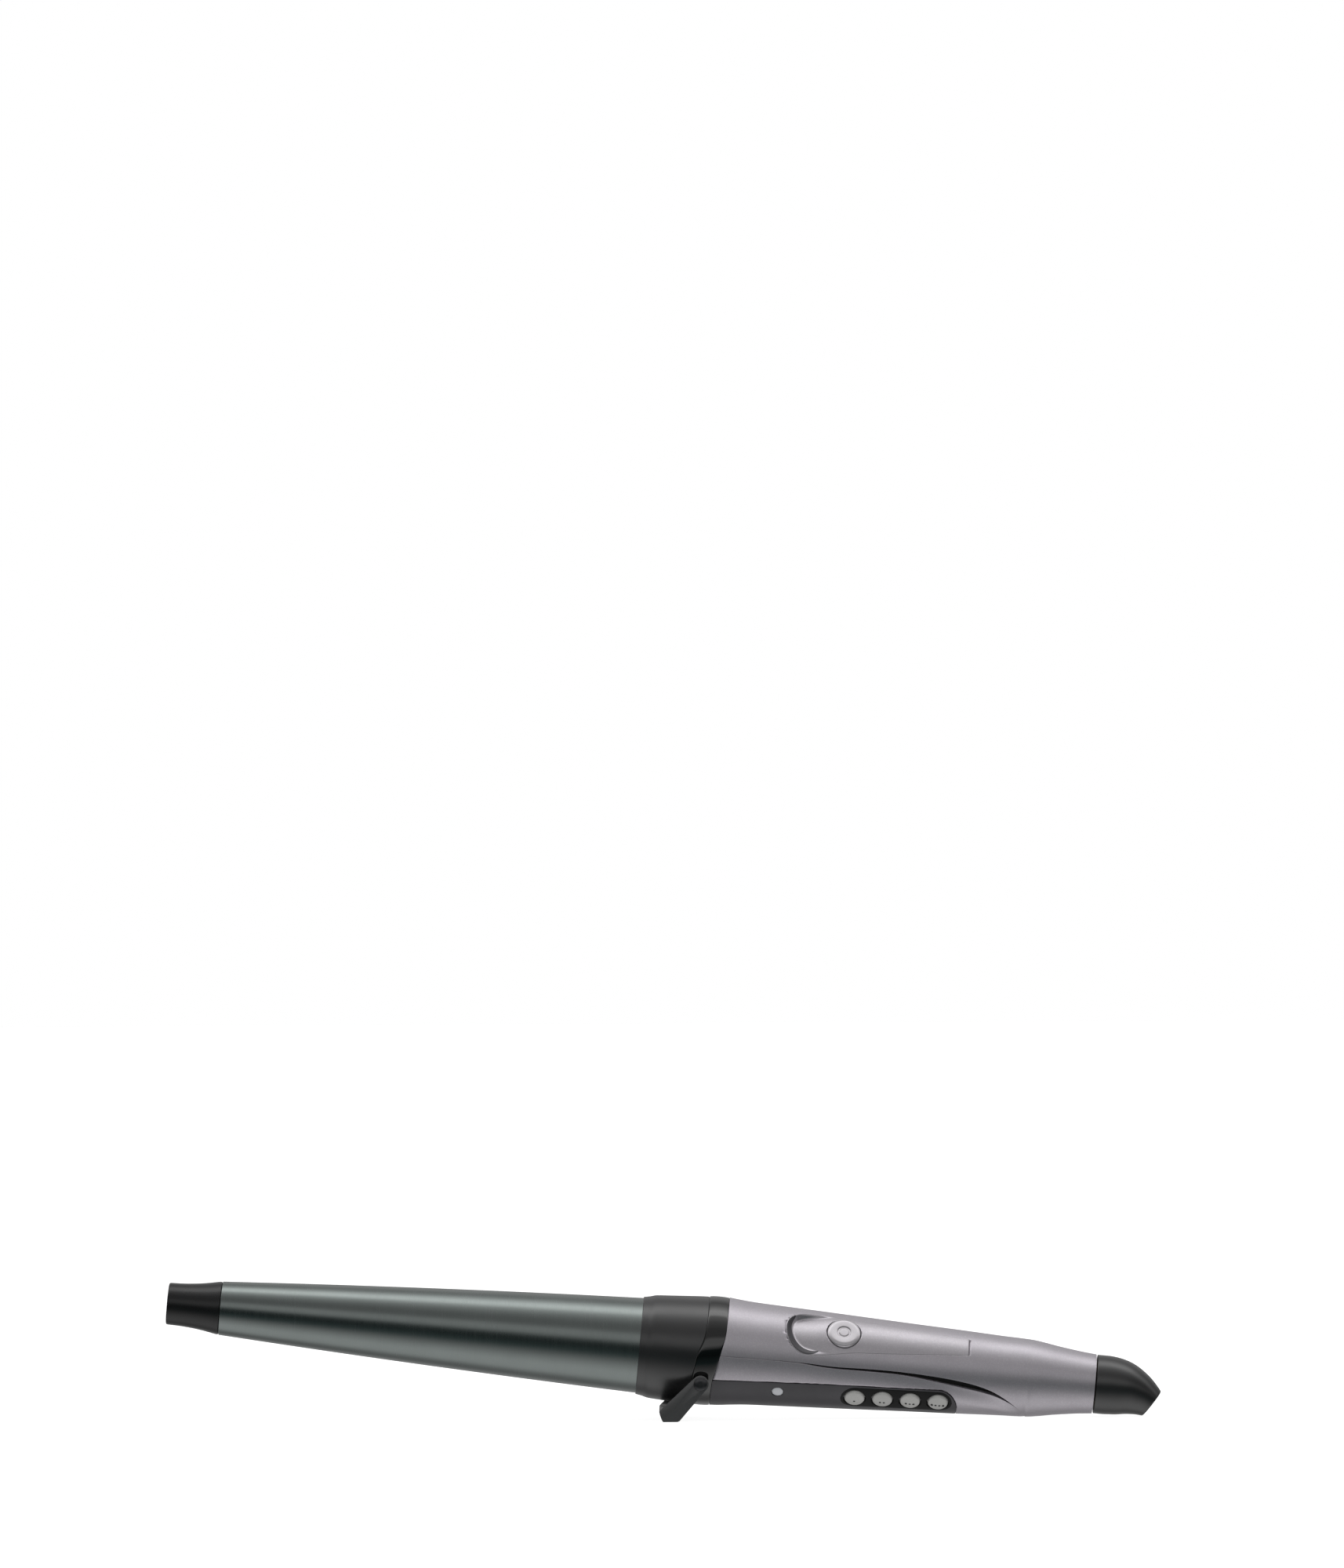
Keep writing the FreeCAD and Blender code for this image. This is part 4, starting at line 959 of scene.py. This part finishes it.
SLOT_OF = {part["node"]: part["material_slot"] for part in frame["record"]["subparts"]}

for node, piece in frame["nodes"].items():
    piece.data.materials.clear()
    piece.data.materials.append(materials[SLOT_OF[node]])
for piece in list(bpy.context.scene.objects):
    if piece.type == "MESH" and "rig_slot" in piece:
        piece.data.materials.clear()
        piece.data.materials.append(materials[piece["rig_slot"]])

# ------------------------------------------------------------------ studio

# Brightness of the room seen in the wand's reflections, by the angle looked at: 0 is level towards the
# side with the keys, 90 is straight up, -90 straight down and 180 level behind the wand.
ROOM = [(-180, 0.3), (-150, 0.45), (-125, 0.25), (-112, 0.35), (-95, 0.8), (-70, 0.85), (-52, 0.6),
        (-38, 0.32), (-25, 0.09), (-8, 0.025), (4, 0.04), (14, 0.6), (27, 0.6), (34, 0.25), (50, 0.25),
        (66, 0.45), (80, 0.9), (86, 2.0), (96, 2.0), (104, 1.3), (113, 0.7), (124, 0.4), (142, 0.55),
        (180, 0.3)]
ROOM_TINT = (0.65, 1.0, 1.0)


def build_room():
    """White to the camera, and bands of light and dark to everything else."""
    world = bpy.data.worlds.new("studio_room")
    bpy.context.scene.world = world
    world.use_nodes = True
    tree = world.node_tree
    tree.nodes.clear()
    looking = tree.nodes.new("ShaderNodeTexCoord")
    parts = tree.nodes.new("ShaderNodeSeparateXYZ")
    tree.links.new(looking.outputs["Generated"], parts.inputs["Vector"])
    front = tree.nodes.new("ShaderNodeMath")
    front.operation = "MULTIPLY"
    front.inputs[1].default_value = -1.0
    tree.links.new(parts.outputs["Y"], front.inputs[0])
    angle = tree.nodes.new("ShaderNodeMath")
    angle.operation = "ARCTAN2"
    tree.links.new(parts.outputs["Z"], angle.inputs[0])
    tree.links.new(front.outputs[0], angle.inputs[1])
    share = tree.nodes.new("ShaderNodeMapRange")
    share.inputs["From Min"].default_value = -math.pi
    share.inputs["From Max"].default_value = math.pi
    tree.links.new(angle.outputs[0], share.inputs["Value"])
    ramp = tree.nodes.new("ShaderNodeValToRGB")
    tree.links.new(share.outputs["Result"], ramp.inputs["Fac"])
    stops = ramp.color_ramp.elements
    while len(stops) < len(ROOM):
        stops.new(0.5)
    top = max(level for _, level in ROOM)
    for stop, (degrees, level) in zip(stops, ROOM):
        stop.position = (degrees + 180) / 360
        tint = ROOM_TINT if level < 0.1 else (1, 1, 1)
        stop.color = tuple(level / top * part for part in tint) + (1,)
    seen = tree.nodes.new("ShaderNodeBackground")
    tree.links.new(ramp.outputs["Color"], seen.inputs["Color"])
    sideways = tree.nodes.new("ShaderNodeMath")
    sideways.operation = "ABSOLUTE"
    tree.links.new(parts.outputs["X"], sideways.inputs[0])
    ends = tree.nodes.new("ShaderNodeMapRange")
    for word, number in (("From Min", 0.5), ("From Max", 0.85), ("To Min", top), ("To Max", 0.45 * top)):
        ends.inputs[word].default_value = number
    tree.links.new(sideways.outputs[0], ends.inputs["Value"])
    tree.links.new(ends.outputs["Result"], seen.inputs["Strength"])
    paper = tree.nodes.new("ShaderNodeBackground")
    paper.inputs["Color"].default_value = (1, 1, 1, 1)
    paper.inputs["Strength"].default_value = 1.0
    rays = tree.nodes.new("ShaderNodeLightPath")
    pick = tree.nodes.new("ShaderNodeMixShader")
    tree.links.new(rays.outputs["Is Camera Ray"], pick.inputs[0])
    tree.links.new(seen.outputs[0], pick.inputs[1])
    tree.links.new(paper.outputs[0], pick.inputs[2])
    out = tree.nodes.new("ShaderNodeOutputWorld")
    tree.links.new(pick.outputs[0], out.inputs["Surface"])


def soft_light(name, place, aim, wide, tall, power):
    data = bpy.data.lights.new(name, "AREA")
    data.shape = "RECTANGLE"
    data.size = wide
    data.size_y = tall
    data.energy = power
    light = bpy.data.objects.new(name, data)
    bpy.context.scene.collection.objects.link(light)
    light.location = place
    light.rotation_euler = (Vector(aim) - Vector(place)).to_track_quat("-Z", "Y").to_euler()
    light.visible_camera = False
    light.visible_glossy = False


build_room()
soft_light("overhead_softbox", (0, -0.2, 1.2), (0, 0, 0.02), 2.0, 1.0, 8)
soft_light("front_fill", (0, -2.5, 0.6), (0, 0, 0.02), 3.0, 1.5, 10)

floor_data = bpy.data.meshes.new("table")
floor_data.from_pydata([(-6, -6, 0), (6, -6, 0), (6, 6, 0), (-6, 6, 0)], [], [(0, 1, 2, 3)])
table_top = bpy.data.objects.new("table", floor_data)
bpy.context.scene.collection.objects.link(table_top)
table_top.visible_glossy = False
table_top.visible_diffuse = False
table_top.visible_shadow = False
paper_finish = bpy.data.materials.new("white_paper")
paper_finish.use_nodes = True
paper_shader = paper_finish.node_tree.nodes["Principled BSDF"]
paper_shader.inputs["Base Color"].default_value = (0.3, 0.3, 0.3, 1)
paper_shader.inputs["Roughness"].default_value = 1.0
paper_shader.inputs["Emission Color"].default_value = (1, 1, 1, 1)
paper_shader.inputs["Emission Strength"].default_value = 0.93
floor_data.materials.append(paper_finish)

scene = bpy.context.scene
scene.view_settings.view_transform = "Standard"
scene.view_settings.look = "None"
